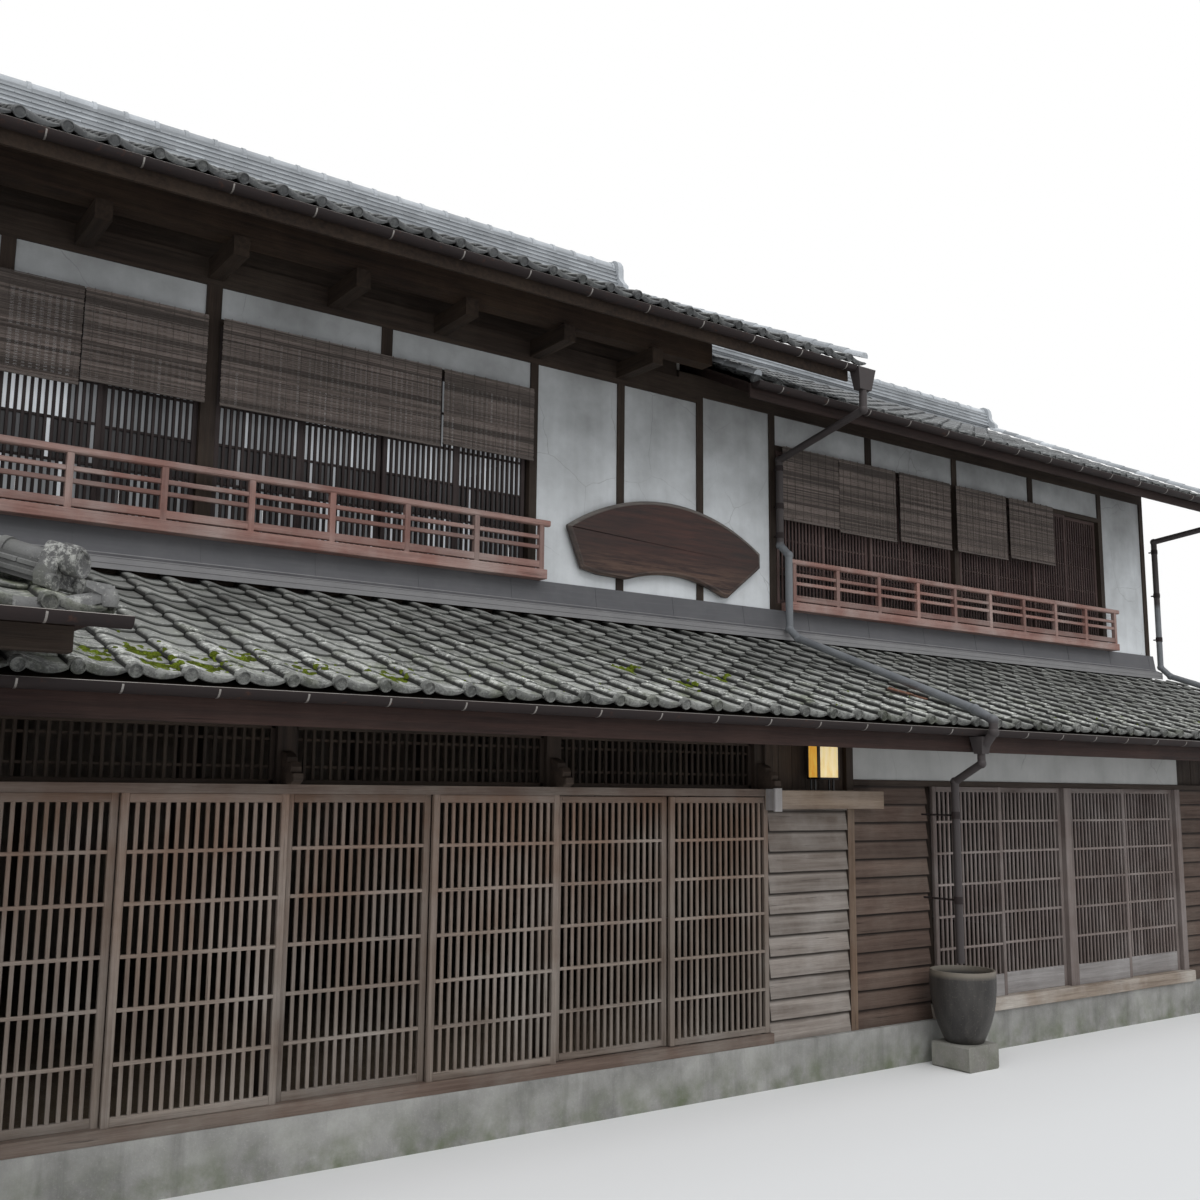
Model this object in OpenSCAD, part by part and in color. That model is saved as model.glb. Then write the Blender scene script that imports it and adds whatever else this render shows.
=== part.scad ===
// Two-storey machiya townhouse in a row, front view along +Y.
// Origin: lowest ground point, on the front face, where the left and the right block meet.

/* [Grid] */
// Half-ken module that spaces posts, panels and bays
bay = 985; // [900:5:1000]
// Modules from the origin to the left end (lattice bays take two each)
left_bays = 11; // [9:2:13]
// Modules from the origin to the right end
right_bays = 8; // [8:1:9]
// Modules from front to back on the ground storey
depth_bays = 8; // [8:1:9]
// Modules that the upper storey stands back
setback_bays = 2; // [2:1:2]

/* [Footings] */
// Height of the stone footings above the lowest ground
footing_h = 330; // [250:10:400]
// Width of the footings
footing_w = 240; // [200:10:280]
// Thickness of the earth floor
floor_t = 130; // [100:10:200]

/* [Ground storey] */
// Side of the square ground posts
post_w = 120; // [100:5:130]
// Distance from the lattice face to the front of the posts
post_set = 85; // [85:1:95]
// Height of the door sill
sill_h = 76; // [60:2:90]
// Height of a lattice door
door_h = 1778; // [1700:2:1850]
// Gap above and below a sliding door
door_gap = 6; // [5:1:8]
// Length of a door's runners
runner_l = 90; // [60:5:120]
// Gap between pieces that slide or rest on each other
seat_gap = 0.3; // [0.2:0.1:0.5]
// Thickness of the wooden noses at the ends of the lintel and sill
sill_nose = 20; // [10:1:30]
// Height of the lintel over the doors
lintel_h = 56; // [50:2:70]
// Height of the transom zone
transom_h = 398; // [350:2:450]

/* [Lattice] */
// Thickness of a lattice panel
panel_t = 33; // [28:1:35]
// Gap between the two door tracks
track_gap = 7; // [6:1:9]
// Width of a panel's stiles
stile_w = 46; // [40:1:60]
// Height of a panel's top and bottom rails
rail_h = 46; // [40:1:55]
// Upright bars in one panel
panel_bars = 15; // [12:1:16]
// Width of an upright bar
bar_w = 23; // [18:1:26]
// Rows of openings in one panel
panel_rows = 6; // [4:1:7]
// Height of an intermediate rail
cross_h = 18; // [14:1:22]
// Distance from a panel's face back to its upright bars
bar_set = 2; // [1:1:4]
// Transom bars in one lattice bay
transom_bars = 30; // [24:1:34]
// Width of a transom bar
transom_bar_w = 24; // [20:1:28]
// Thickness of the transoms and upper sashes
sash_t = 30; // [26:1:34]

/* [Board walls] */
// Exposed height of one clapboard
board_h = 148; // [120:1:180]
// Distance from the lower edge of a clapboard to the posts
board_out = 73; // [60:1:76]
// Distance from the upper edge of a clapboard to the posts
board_in = 50; // [40:1:55]
// Width of the light post between the two clapboard walls
mid_post_w = 80; // [60:5:90]
// Underside of the lantern shelf above the ground
shelf_level = 2100; // [2050:10:2130]
// Height of the lantern shelf
shelf_h = 146; // [120:2:160]
// Distance that the lantern shelf stands out
shelf_out = 110; // [90:5:130]
// Thickness of the caps on the shelf's ends
shelf_cap = 25; // [15:1:30]

/* [Right windows] */
// Sliding lattice windows in the right front, one module wide each
window_bays = 4; // [2:2:6]
// Width of the mullion between each two of them
mullion_w = 90; // [70:5:110]
// Underside to top of the sill beam
window_sill_h = 110; // [90:5:130]
// Distance that the sill beam stands out from the lattice face
window_sill_out = 60; // [40:5:80]
// Height of the solid board at the foot of each window
kick_h = 190; // [150:5:230]
// Height of the right windows
window_h = 1850; // [1800:5:1900]
// Height of the beam over the right windows
window_head_h = 50; // [40:5:60]

/* [Lower roof] */
// Height of the tile tops at the lower eave
pent_eave_z = 2865; // [2840:5:2900]
// Distance from the lattice face to the lower eave
pent_out = 580; // [500:5:640]
// Rise of the lower roof for each unit of depth
pent_slope = 0.3755; // [0.36:0.005:0.4]
// Distance from the right end's middle line to the verge
verge_out = 620; // [500:10:700]
// Distance from the left end's middle line to the verge
party_out = 120; // [90:5:160]
// Depth of the lower eave board
pent_board_h = 190; // [160:5:210]
// Width of one tile column
tile_pitch = 287.5; // [270:0.5:300]
// Height of the tile rolls above the roof boards
tile_roll = 94; // [80:1:110]
// Height of the tile pans above the roof boards
tile_pan = 38; // [30:1:50]
// Distance from the upper wall to the top course
wall_gap = 40; // [30:1:60]
// Thickness of the roof boards
deck_t = 25; // [20:1:30]
// Width of a rafter
rafter_w = 60; // [50:1:75]
// Depth of a rafter
rafter_h = 80; // [70:1:90]

/* [Upper storey] */
// Height of the beams under the upper wall
floor_beam_h = 230; // [200:5:260]
// Height of the top of those beams
upper_base_z = 3830; // [3800:5:3860]
// Thickness of the upper floor
upper_floor_t = 110; // [80:5:120]
// Height of the upper sill beam
upper_sill_h = 230; // [200:5:250]
// Width of the upper posts
upper_post_w = 80; // [70:1:95]
// Width of the heavy post in the middle of the left windows
heavy_post_w = 120; // [100:1:140]
// Depth of the upper posts
upper_post_d = 100; // [90:1:110]
// Distance from the posts' face back to the plaster
plaster_set = 18; // [10:1:25]
// Thickness of the plaster walls
plaster_t = 62; // [50:1:70]
// Height from the ground to the top of the left plaster
left_head_z = 6080; // [6000:10:6120]
// Height from the ground to the top of the right plaster
right_head_z = 6150; // [6100:10:6180]
// Height of the window head beams
window_beam_z = 5770; // [5700:10:5800]
// Height of a window head beam
window_beam_h = 55; // [45:1:70]
// Height of the beam under the upper windows
window_foot_h = 90; // [70:5:110]
// Height of an upper sash's top and bottom rails
sash_rail_h = 40; // [30:2:50]
// Thickness of the panes
glass_t = 6; // [4:1:8]
// Bars in one upper sash
sash_bars = 12; // [9:1:13]
// Bars in one upper sash of the back
back_bars = 2; // [1:1:6]
// Width of a bar in an upper sash
sash_bar_w = 20; // [16:1:24]

/* [Main roofs] */
// Rise of the main roofs for each unit of depth
roof_slope = 0.5; // [0.45:0.01:0.52]
// Distance from the ridge to the left eave
left_eave_run = 4125; // [4000:5:4200]
// Height of the tile tops at the left eave
left_eave_z = 6474; // [6450:2:6520]
// Distance from the ridge to the right eave
right_eave_run = 3875; // [3800:5:3950]
// Height of the tile tops at the right eave
right_eave_z = 6124; // [6100:2:6140]
// How far the left roof passes over the right one
left_over = 1120; // [1000:10:1200]
// Where the left block's upper gable stands, left of the origin
gable_in = 270; // [200:10:300]
// Thickness of that gable
gable_t = 100; // [80:5:120]
// Height of one course in the ridge stacks
ridge_course = 55; // [45:1:60]
// Courses in the left ridge stack
left_courses = 5; // [4:1:6]
// Courses in the right ridge stack
right_courses = 4; // [3:1:5]
// Depth of the left eave board
left_board_h = 190; // [160:5:210]
// Depth of the right eave board
right_board_h = 140; // [120:5:150]
// Radius of the ridge cap
cap_r = 90; // [70:1:100]

/* [Eave brackets] */
// Width of a bracket arm
arm_w = 120; // [100:5:140]
// Depth of a bracket arm
arm_h = 150; // [130:5:170]
// Distance that an arm reaches out from the wall
arm_out = 560; // [500:5:600]
// Width of the eave purlin
purlin_w = 150; // [130:5:170]
// Underside of the eave purlin above the ground
purlin_z = 6280; // [6240:5:6300]

/* [Rainwater] */
// Outer radius of the eave gutters
gutter_r = 55; // [45:1:60]
// Wall of the gutters
gutter_t = 5; // [3:1:8]
// Width of the rain funnel at the left gutter's end
funnel_w = 240; // [200:10:260]
// Radius of the downpipes
pipe_r = 38; // [32:1:42]

/* [Porch] */
// Middle of the porch roof, in modules left of the origin
porch_bay = 8; // [8:1:8]
// Half the width of the porch roof
porch_half = 1475; // [1400:5:1600]
// Distance from the lattice face to the porch eave
porch_out = 1370; // [1300:10:1450]
// Height of the tile tops at the porch eave
porch_eave_z = 3090; // [3070:5:3120]
// Depth of the porch roof's edge
porch_edge_h = 100; // [90:5:130]
// Rise of the porch roof for each unit of run
porch_slope = 0.4; // [0.36:0.01:0.45]
// Distance from the lattice face to the porch posts' middle
porch_post_y = 1000; // [900:10:1100]

/* [Fittings] */
// Distance from the upper wall to the railings
rail_out = 120; // [110:2:150]
// Height of a railing's top above its base board
railing_h = 530; // [480:5:560]
// Height of a railing's top rail
rail_cap_h = 52; // [40:2:60]
// Thickness of a bamboo blind
blind_t = 12; // [8:1:16]
// Distance from the upper wall to the blinds
blind_out = 70; // [60:1:80]
// Middle of the fan board, from the origin
fan_x = -438; // [-460:2:-420]
// Width of the fan board across its tips
fan_w = 2364; // [2300:2:2400]
// Height of the fan board's top above the ground
fan_top_z = 4978; // [4950:2:5000]
// Rise of its arched top
fan_rise = 360; // [320:5:380]
// Depth of the board in the middle
fan_h = 706; // [660:2:740]
// Radius of its arched foot
fan_r_foot = 1560; // [1400:10:1700]
// Thickness of the fan board
fan_t = 55; // [40:1:70]
// Right end of the lantern, from the origin
lantern_x = -308; // [-400:2:-280]
// Width of the lantern
lantern_w = 248; // [200:2:280]
// Depth of the lantern
lantern_d = 124; // [100:2:140]
// Height of the lantern
lantern_h = 324; // [300:1:360]
// Height of the stand under the lantern
lantern_foot = 90; // [60:2:110]
// Width of the lantern's frame bars
lantern_bar = 14; // [10:1:18]
// Middle of the rain jar, from the origin
jar_x = 900; // [880:5:920]
// Outer diameter of the rain jar
jar_d = 540; // [480:10:600]
// Height of the rain jar
jar_h = 580; // [540:10:600]
// Height of the stone under the rain jar
jar_z = 200; // [180:10:220]

/* [Hidden] */
$fn = 24;
x_left = -left_bays * bay;
x_right = right_bays * bay;
y_back = depth_bays * bay;
y_upper = setback_bays * bay;
y_ridge = (y_upper + y_back) / 2;
lattice_pairs = (left_bays - 1) / 2;
jamb_x = -bay + stile_w / 2;
sill_z = footing_h;
door_z = sill_z + sill_h + door_gap;
lintel_z = door_z + door_h + door_gap;
transom_z = lintel_z + lintel_h;
girder_z = transom_z + transom_h;
floor_beam_z = upper_base_z - floor_beam_h;
plaster_z = upper_base_z + upper_sill_h;
window_sill_top = sill_z + window_sill_h;
window_head_z = window_sill_top + window_h;
roof_left_x = x_left - party_out;
roof_right_x = x_right + verge_out;
pent_deck_z = pent_eave_z - tile_roll / cos(atan(pent_slope));
left_ridge_z = left_eave_z + roof_slope * left_eave_run;
right_ridge_z = right_eave_z + roof_slope * right_eave_run;
roof_drop = tile_roll / cos(atan(roof_slope));
frame_drop = (deck_t + rafter_h) / cos(atan(roof_slope));
window_end = (1 + window_bays) * bay;
eave_lap = 20;
fascia_out = 5;
ridge_gap = 20;
bed_w = 216;
bed_gap = 45;
ridge_end_t = 90;
collar = 1.2;
pipe_gap = 12;
porch_x = -porch_bay * bay;
porch_gutter_over = 100;
porch_gutter_gap = 12;
pent_gutter_y = -pent_out - fascia_out - gutter_r - 20;
left_gutter_y = y_ridge - left_eave_run - fascia_out - gutter_r - 12;
left_gutter_z = left_eave_z - roof_drop - 60;
right_gutter_y = y_ridge - right_eave_run - fascia_out - gutter_r - 12;
right_gutter_z = right_eave_z - roof_drop - 5;

// Extrudes a YZ outline along X
module along_x(x0, x1) {
    translate([x0, 0, 0]) rotate([90, 0, 90]) linear_extrude(x1 - x0) children();
}

// A box given by its lowest and highest corners
module block(lo, hi) {
    translate(lo) cube(hi - lo);
}

// The children and their mirror image on the back of the upper storey
module front_and_back() {
    children();
    translate([0, 2 * y_ridge, 0]) mirror([0, 1, 0]) children();
}

// A lattice panel standing on the XZ plane, its outer corner at the origin: a frame, and inside it
// upright bars in front of thinner cross rails, let into each other where they cross
module lattice(w, h, t, bars, bar, rows, cross, stile, foot, head) {
    gap_w = (w - 2 * stile - bars * bar) / (bars + 1);
    gap_h = (h - foot - head - (rows - 1) * cross) / rows;
    let_in = 1;
    difference() {
        cube([w, t, h]);
        translate([stile, -let_in, foot]) cube([w - 2 * stile, t + 2 * let_in, h - foot - head]);
    }
    for (i = [0 : bars - 1])
        translate([stile + gap_w + i * (gap_w + bar), bar_set, foot - let_in])
            cube([bar, t / 2, h - foot - head + 2 * let_in]);
    for (j = [1 : 1 : rows - 1])
        translate([stile - let_in, bar_set + t / 2 - let_in, foot + j * gap_h + (j - 1) * cross])
            cube([w - 2 * stile + 2 * let_in, t / 2 - bar_set, cross]);
}

// One sliding lattice door in the front or the rear track, with two runners under its foot
module door_panel(x, w, rear, h) {
    translate([x, rear ? panel_t + track_gap : 0, door_z]) {
        lattice(w, h, panel_t, panel_bars, bar_w, panel_rows, cross_h, stile_w, rail_h, rail_h);
        for (u = [runner_l, w - 2 * runner_l])
            translate([u, panel_t / 4, seat_gap - door_gap]) cube([runner_l, panel_t / 2, door_gap]);
    }
}

// Height of the tops of the lower roof's boards at depth y
function pent_deck_at(y) = pent_deck_z + pent_slope * (y + pent_out);
// Height of the tops of a main roof's boards at depth y on its front half
function left_deck_at(y) = left_ridge_z - roof_drop - roof_slope * abs(y_ridge - y);
function right_deck_at(y) = right_ridge_z - roof_drop - roof_slope * abs(y_ridge - y);

// Outline of a course of tiles seen from the eave: flat pans that sweep up into round rolls
function tile_wave(cols, pitch) = [
    for (i = [0 : cols - 1], p = [[0, tile_pan], [0.52, tile_pan * 0.85], [0.62, tile_pan * 1.3],
            [0.7, tile_roll * 0.86], [0.8, tile_roll], [0.9, tile_roll * 0.86]])
        [(i + p[0]) * pitch, p[1]]];

// Tiles between two ends, on a slope that rises from (y0, z0) over a level distance of run
module tile_slope(x0, x1, y0, z0, run, slope) {
    len = run / cos(atan(slope));
    cols = round((x1 - x0) / tile_pitch);
    pitch = (x1 - x0) / cols;
    translate([x0, y0, z0]) rotate([atan(slope), 0, 0]) translate([0, len, seat_gap]) rotate([90, 0, 0])
        linear_extrude(len)
            polygon(concat([[0, 0]], tile_wave(cols, pitch), [[x1 - x0, tile_pan], [x1 - x0, 0]]));
}

// Boards and rafters of one slope that rises from depth y0 to y1
module slope_frame(x0, x1, y0, z0, y1, slope, rafters, step) {
    drop = deck_t / cos(atan(slope));
    depth = rafter_h / cos(atan(slope));
    inset = 15;
    z1 = z0 + slope * (y1 - y0);
    along_x(x0, x1) polygon([[y0, z0], [y0, z0 - drop], [y1, z1 - drop], [y1, z1]]);
    for (i = [0 : rafters - 1])
        translate([x0 + step * (i + 0.5) - rafter_w / 2, 0, 0]) along_x(0, rafter_w)
            polygon([[y0 + inset, z0 + inset * slope - drop / 2],
                [y0 + inset, z0 + inset * slope - drop - depth],
                [y1, z1 - drop - depth], [y1, z1 - drop / 2]]);
}

// Half-round gutter along X with a flange that reaches back to its fascia
module gutter(x0, x1, y, z, flange) {
    along_x(x0, x1) translate([y, z]) {
        difference() {
            circle(r = gutter_r);
            circle(r = gutter_r - gutter_t);
            translate([-gutter_r - 1, 0]) square([2 * gutter_r + 2, gutter_r + 1]);
        }
        translate([gutter_r - gutter_t, -gutter_t]) square([flange + gutter_t, gutter_t]);
    }
    for (x = [x0, x1 - gutter_t])
        along_x(x, x + gutter_t) translate([y, z]) intersection() {
            circle(r = gutter_r - gutter_t / 2);
            translate([-gutter_r, -gutter_r]) square([2 * gutter_r, gutter_r]);
        }
}

// Round pipe through a list of points, with a collar at each elbow
module pipe(pts, r) {
    for (i = [0 : len(pts) - 2]) {
        v = pts[i + 1] - pts[i];
        translate(pts[i]) rotate([0, acos(v[2] / norm(v)), atan2(v[1], v[0])]) cylinder(h = norm(v), r = r);
    }
    for (i = [1 : 1 : len(pts) - 2]) translate(pts[i]) sphere(r = collar * r);
}

// Ridge stack: bed, stepped courses and a round cap, seen from its end
module ridge_profile(z, courses) {
    translate([y_ridge, 0]) {
        polygon([[-bed_w / 2, z - roof_drop - roof_slope * bed_w / 2], [0, z - roof_drop],
            [bed_w / 2, z - roof_drop - roof_slope * bed_w / 2], [bed_w / 2, z - 35], [-bed_w / 2, z - 35]]);
        for (i = [0 : courses - 1]) {
            half = 165 - 12 * i;
            translate([-half, z - 45 + i * ridge_course]) square([2 * half, ridge_course * 0.75]);
            translate([12 - half, z - 45 + (i + 0.5) * ridge_course])
                square([2 * half - 24, ridge_course * 0.5]);
        }
        translate([0, z - 45 + courses * ridge_course + 5]) circle(r = cap_r);
    }
}

// End tile of a ridge: a shouldered plate that sits on the tile rolls, with a round boss
module ridge_end(x, z, top) {
    w = 270;
    shoulder = [[w, -40], [215, 60], [150, 120], [130, top - z - 60], [70, top - z + 40]];
    along_x(x, x + ridge_end_t) translate([y_ridge, z])
        polygon(concat([[0, 1], [w, 1 - roof_slope * w]], shoulder,
            [for (i = [len(shoulder) - 1 : -1 : 0]) [-shoulder[i][0], shoulder[i][1]]],
            [[-w, 1 - roof_slope * w]]));
    along_x(x - 60, x + ridge_end_t + 80) translate([y_ridge, top + 60]) circle(r = 62);
}

module long_footings() color("darkgray") {
    x0 = x_left - footing_w / 2;
    x1 = x_right + footing_w / 2;
    block([x0, -30, 0], [x1, footing_w - 30, footing_h]);
    block([x0, y_back - footing_w + 30, 0], [x1, y_back + 30, footing_h]);
}

module side_footings() color("darkgray")
    for (x = [x_left, x_right])
        block([x - footing_w / 2, footing_w - 30, 0],
            [x + footing_w / 2, y_back - footing_w + 30, footing_h]);

module ground_floor() color("tan")
    block([x_left + footing_w / 2, footing_w - 30, footing_h - floor_t],
        [x_right - footing_w / 2, y_back - footing_w + 30, footing_h]);

module upper_floor() color("saddlebrown")
    block([x_left + upper_post_w / 2, y_upper + upper_post_d, upper_base_z],
        [x_right - upper_post_w / 2, y_back - upper_post_d, upper_base_z + upper_floor_t]);

// Party walls of the ground storey, with the lower roof's slope along their front
module side_walls_lower() color("gainsboro")
    for (x = [x_left, x_right])
        along_x(x - upper_post_w / 2, x + upper_post_w / 2) {
            drop = (deck_t + rafter_h) / cos(atan(pent_slope));
            y0 = post_set + post_w;
            polygon([[y0, footing_h], [y_back - post_w, footing_h], [y_back - post_w, upper_base_z],
                [y_upper + post_w, upper_base_z], [y_upper + post_w, floor_beam_z], [y_upper, floor_beam_z],
                [y0, min(floor_beam_z, pent_deck_at(y0) - drop)]]);
        }

// Gable wall of the upper storey: it stands between the end posts and the wall plates
module gable_wall(x, head, deck) {
    y0 = y_upper + upper_post_d;
    y1 = y_back - upper_post_d;
    in0 = y_upper + post_w;
    in1 = y_back - post_w;
    along_x(x - upper_post_w / 2, x + upper_post_w / 2)
        polygon([[y0, upper_base_z], [y1, upper_base_z], [y1, head], [in1, head],
            [in1, deck(in1) - frame_drop],
            [y_ridge, deck(y_ridge) - frame_drop], [in0, deck(in0) - frame_drop], [in0, head], [y0, head]]);
}

module side_walls_upper() color("gainsboro") {
    gable_wall(x_left, left_head_z, function(y) left_deck_at(y));
    gable_wall(x_right, right_head_z, function(y) right_deck_at(y));
}

// Wall between the two main roofs: it closes the left block over the right one
module middle_gable() color("gainsboro")
    along_x(-gable_in, -gable_in + gable_t) {
        y0 = y_upper + post_w;
        y1 = y_back - post_w;
        polygon([[y0, right_head_z], [y1, right_head_z], [y1, left_deck_at(y1) - frame_drop],
            [y_ridge, left_deck_at(y_ridge) - frame_drop], [y0, left_deck_at(y0) - frame_drop]]);
    }

// Posts of the ground storey: front row, inner row under the upper wall, back row
module ground_posts() color("#3b2f26") {
    front = concat([for (i = [0 : lattice_pairs]) -bay - 2 * bay * i], [0, bay],
        [for (k = [3 : 2 : right_bays - 1]) k * bay], [x_right]);
    for (x = front)
        block([x - post_w / 2, post_set, footing_h], [x + post_w / 2, post_set + post_w, girder_z]);
    for (x = front, y = [y_upper, y_back - post_w])
        if (x != x_left && x != x_right || y != y_upper)
            block([x - post_w / 2, y, footing_h], [x + post_w / 2, y + post_w, floor_beam_z]);
    color("peru") block([-mid_post_w, post_set - board_out, footing_h], [0, post_set, girder_z]);
}

// Beams that the posts carry
module girders() color("#33291f") {
    x0 = x_left - post_w / 2;
    x1 = x_right + post_w / 2;
    y1 = post_set + post_w;
    drop = (deck_t + rafter_h) / cos(atan(pent_slope));
    along_x(x0, x1) polygon([[post_set, girder_z], [y1, girder_z], [y1, pent_deck_at(y1) - drop],
        [post_set, pent_deck_at(post_set) - drop]]);
    front_and_back() {
        block([x0, y_upper, floor_beam_z], [x1, y_upper + post_w, upper_base_z]);
        block([x_left - upper_post_w / 2, y_upper, floor_beam_z],
            [x_right + upper_post_w / 2, y_upper + upper_post_d, plaster_z]);
    }
}

module door_sill() color("#6b5a4c")
    block([x_left - post_w / 2, -sill_nose, sill_z], [jamb_x, post_set, sill_z + sill_h]);

module door_lintel() color("#6b5a4c")
    block([x_left - post_w / 2, -sill_nose, lintel_z], [jamb_x, post_set, lintel_z + lintel_h]);

// Low barred panels between the posts, over the lintel
module transom_lattice() color("#2a211b")
    for (i = [0 : lattice_pairs - 1])
        translate([-bay * (2 * i + 3) + post_w / 2, post_set + post_w / 3, transom_z])
            lattice(2 * bay - post_w, transom_h, sash_t, transom_bars, transom_bar_w, 1, 0, sash_t, sash_t,
                60);

module lattice_door_right() color("#76604f") door_panel(-2 * bay, bay, false, door_h);

module lattice_door_left() color("#76604f") door_panel(-3 * bay, bay, true, door_h);

// Fixed panels stand on the sill and reach the lintel
module fixed_pair(i) {
    for (side = [0, 1])
        translate([-bay * (2 * i + 3 - side), side ? 0 : panel_t + track_gap, sill_z + sill_h])
            lattice(bay, door_h + 2 * door_gap, panel_t, panel_bars, bar_w, panel_rows, cross_h, stile_w,
                rail_h + door_gap, rail_h + door_gap);
}

module fixed_lattice_inner() color("#76604f") for (i = [1, 2]) fixed_pair(i);

module fixed_lattice_outer() color("#76604f") for (i = [3 : lattice_pairs - 1]) fixed_pair(i);

// Clapboards: each board's foot stands out over the one below
module clapboards(x0, x1, z0, z1, foot) {
    n = floor((z1 - z0) / foot);
    h = (z1 - z0) / n;
    along_x(x0, x1) translate([post_set, z0])
        polygon(concat([[0, n * h], [0, 0]],
            [for (i = [0 : n - 1], e = [[board_out, 0], [board_in, h]]) [-e[0], i * h + e[1]]]));
}

// Depth of the face of the plain boards over the clapboards
board_face_y = post_set - board_in + 15;

module clapboard_wall_left() color("#8a8078") {
    clapboards(jamb_x, -mid_post_w, footing_h, shelf_level + shelf_h, board_h);
    block([jamb_x, board_face_y, shelf_level + shelf_h], [-mid_post_w, post_set, girder_z]);
}

// Boards beside the mid post, and from the last window to the right end with plain boards over them
module clapboard_wall_right() color("#6f5a50") {
    clapboards(0, bay - post_w / 2, footing_h, window_head_z, board_h);
    clapboards(window_end + post_w / 2, x_right + post_w / 2, footing_h, window_head_z, board_h);
    block([window_end + post_w / 2, board_face_y, window_head_z + window_head_h],
        [x_right + post_w / 2, post_set, girder_z]);
}

// Long shelf board with a cap on its end, under the lantern
module lantern_shelf() color("#a59a88") {
    x0 = -bay - 51;
    x1 = 232;
    block([x0, -shelf_out, shelf_level], [x1, -sill_nose, shelf_level + shelf_h]);
    block([jamb_x + 1, -sill_nose, shelf_level], [x1, post_set - board_out, shelf_level + shelf_h]);
    block([x0, -shelf_out - shelf_cap, shelf_level - 20], [x0 + 81, -shelf_out, shelf_level + shelf_h + 14]);
}

// Lantern on the shelf: a box with recessed panes, a cap and a four-legged stand
module lantern() {
    x0 = lantern_x - lantern_w;
    y0 = -shelf_out - 20;
    z0 = shelf_level + shelf_h + lantern_foot;
    depth = 6;
    b = lantern_bar;
    translate([x0, y0, z0]) {
        color("ivory") difference() {
            cube([lantern_w, lantern_d, lantern_h]);
            translate([2 * b, -1, b]) cube([lantern_w - 3 * b, depth + 1, lantern_h - 2 * b]);
            for (x = [-1, lantern_w - depth])
                translate([x, b, b]) cube([depth + 1, lantern_d - 2 * b, lantern_h - 2 * b]);
        }
        color("#1c1a18") for (x = [b, lantern_w - 2 * b], y = [lantern_d / 2 - b, lantern_d - 2 * b])
            translate([x, y, -lantern_foot]) cube([b, b, lantern_foot + 1]);
    }
}

module plaster_band() color("gainsboro")
    block([0, 22, window_head_z + window_head_h], [window_end + post_w / 2, post_set, girder_z]);

// One pair of sliding windows between two mullions: a board at the foot, bars above
module window_pair(k) {
    x0 = k * bay + (k > 1 ? mullion_w / 2 : 0);
    w = ((k + 2) * bay - mullion_w / 2 - x0) / 2;
    for (side = [0, 1])
        translate([x0 + side * w, side ? panel_t + track_gap : 0, window_sill_top])
            lattice(w, window_h, panel_t, panel_bars - 1, bar_w, panel_rows, cross_h, stile_w, kick_h,
                rail_h);
}

module right_lattice_inner() color("#6a574a") window_pair(1);

module right_lattice_outer() color("#6a574a") for (k = [3 : 2 : window_bays - 1]) window_pair(k);

// Sill, head beam and mullions of the right windows
module window_sill_beam() color("#a5855f") {
    block([0, 10, window_head_z], [x_right + post_w / 2, post_set, window_head_z + window_head_h]);
    block([bay - post_w / 2, -window_sill_out, sill_z],
        [window_end + post_w / 2, post_set, window_sill_top]);
    for (k = [3 : 2 : window_bays + 1])
        block([k * bay - mullion_w / 2, -5, window_sill_top],
            [k * bay + mullion_w / 2, post_set, window_head_z]);
}

module pent_deck() color("#4a3a2e") {
    n = floor((roof_right_x - roof_left_x) / (bay / 2));
    y0 = eave_lap - pent_out;
    slope_frame(roof_left_x, roof_right_x, y0, pent_deck_at(y0), y_upper, pent_slope, n,
        (roof_right_x - roof_left_x) / n);
}

module pent_fascia() color("#4b3527")
    block([roof_left_x, -pent_out - fascia_out, pent_deck_z - pent_board_h],
        [roof_right_x, eave_lap - pent_out, pent_deck_z]);

module pent_tiles() color("#6c7069")
    tile_slope(roof_left_x, roof_right_x, -pent_out, pent_deck_z, y_upper - wall_gap + pent_out, pent_slope);

// Gutters of the lower roof and of the porch's front eave
module pent_gutter() color("#3a302a") {
    gutter(roof_left_x, roof_right_x, pent_gutter_y, pent_deck_z - gutter_t, 20);
    gutter(porch_x - porch_half - porch_gutter_over, porch_x + porch_half + porch_gutter_over,
        -porch_out - gutter_r - porch_gutter_gap, porch_eave_z - porch_edge_h + 2 * gutter_t,
        porch_gutter_gap);
}

// Sheet-metal flashing over the top of the lower roof, with a stepped foot
module wall_flashing() color("#3c4148") {
    z = pent_deck_at(y_upper) + tile_roll;
    along_x(x_left - post_w / 2, x_right + post_w / 2)
        polygon([[y_upper, plaster_z + 10], [y_upper - 30, plaster_z + 10], [y_upper - 60, z + 60],
            [y_upper - 150, z + 20], [y_upper - 150, z - 35], [y_upper, z + 15]]);
}

// Porch: two posts on stone piers, a front beam and ties back to the house
module porch_frame() {
    pier = [250, 250, 430];
    post_side = 120;
    beam_h = 130;
    tie = [90, porch_post_y + post_set - post_side / 2, 110];
    beam_z = porch_eave_z - porch_edge_h;
    for (s = [-1, 1]) translate([porch_x + s * bay, -porch_post_y, 0]) {
        color("gray") translate([-pier[0] / 2, -pier[1] / 2, 0]) cube(pier);
        color("#4a382b") translate([-post_side / 2, -post_side / 2, pier[2]])
            cube([post_side, post_side, beam_z - beam_h - pier[2]]);
        color("#4a382b") translate([-tie[0] / 2, post_side / 2, transom_z + 180]) cube(tie);
    }
    color("#4a382b") block([porch_x - porch_half + 60, -porch_post_y - post_side / 2, beam_z - beam_h],
        [porch_x + porch_half - 60, -porch_post_y + post_side / 2, beam_z]);
}

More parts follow.
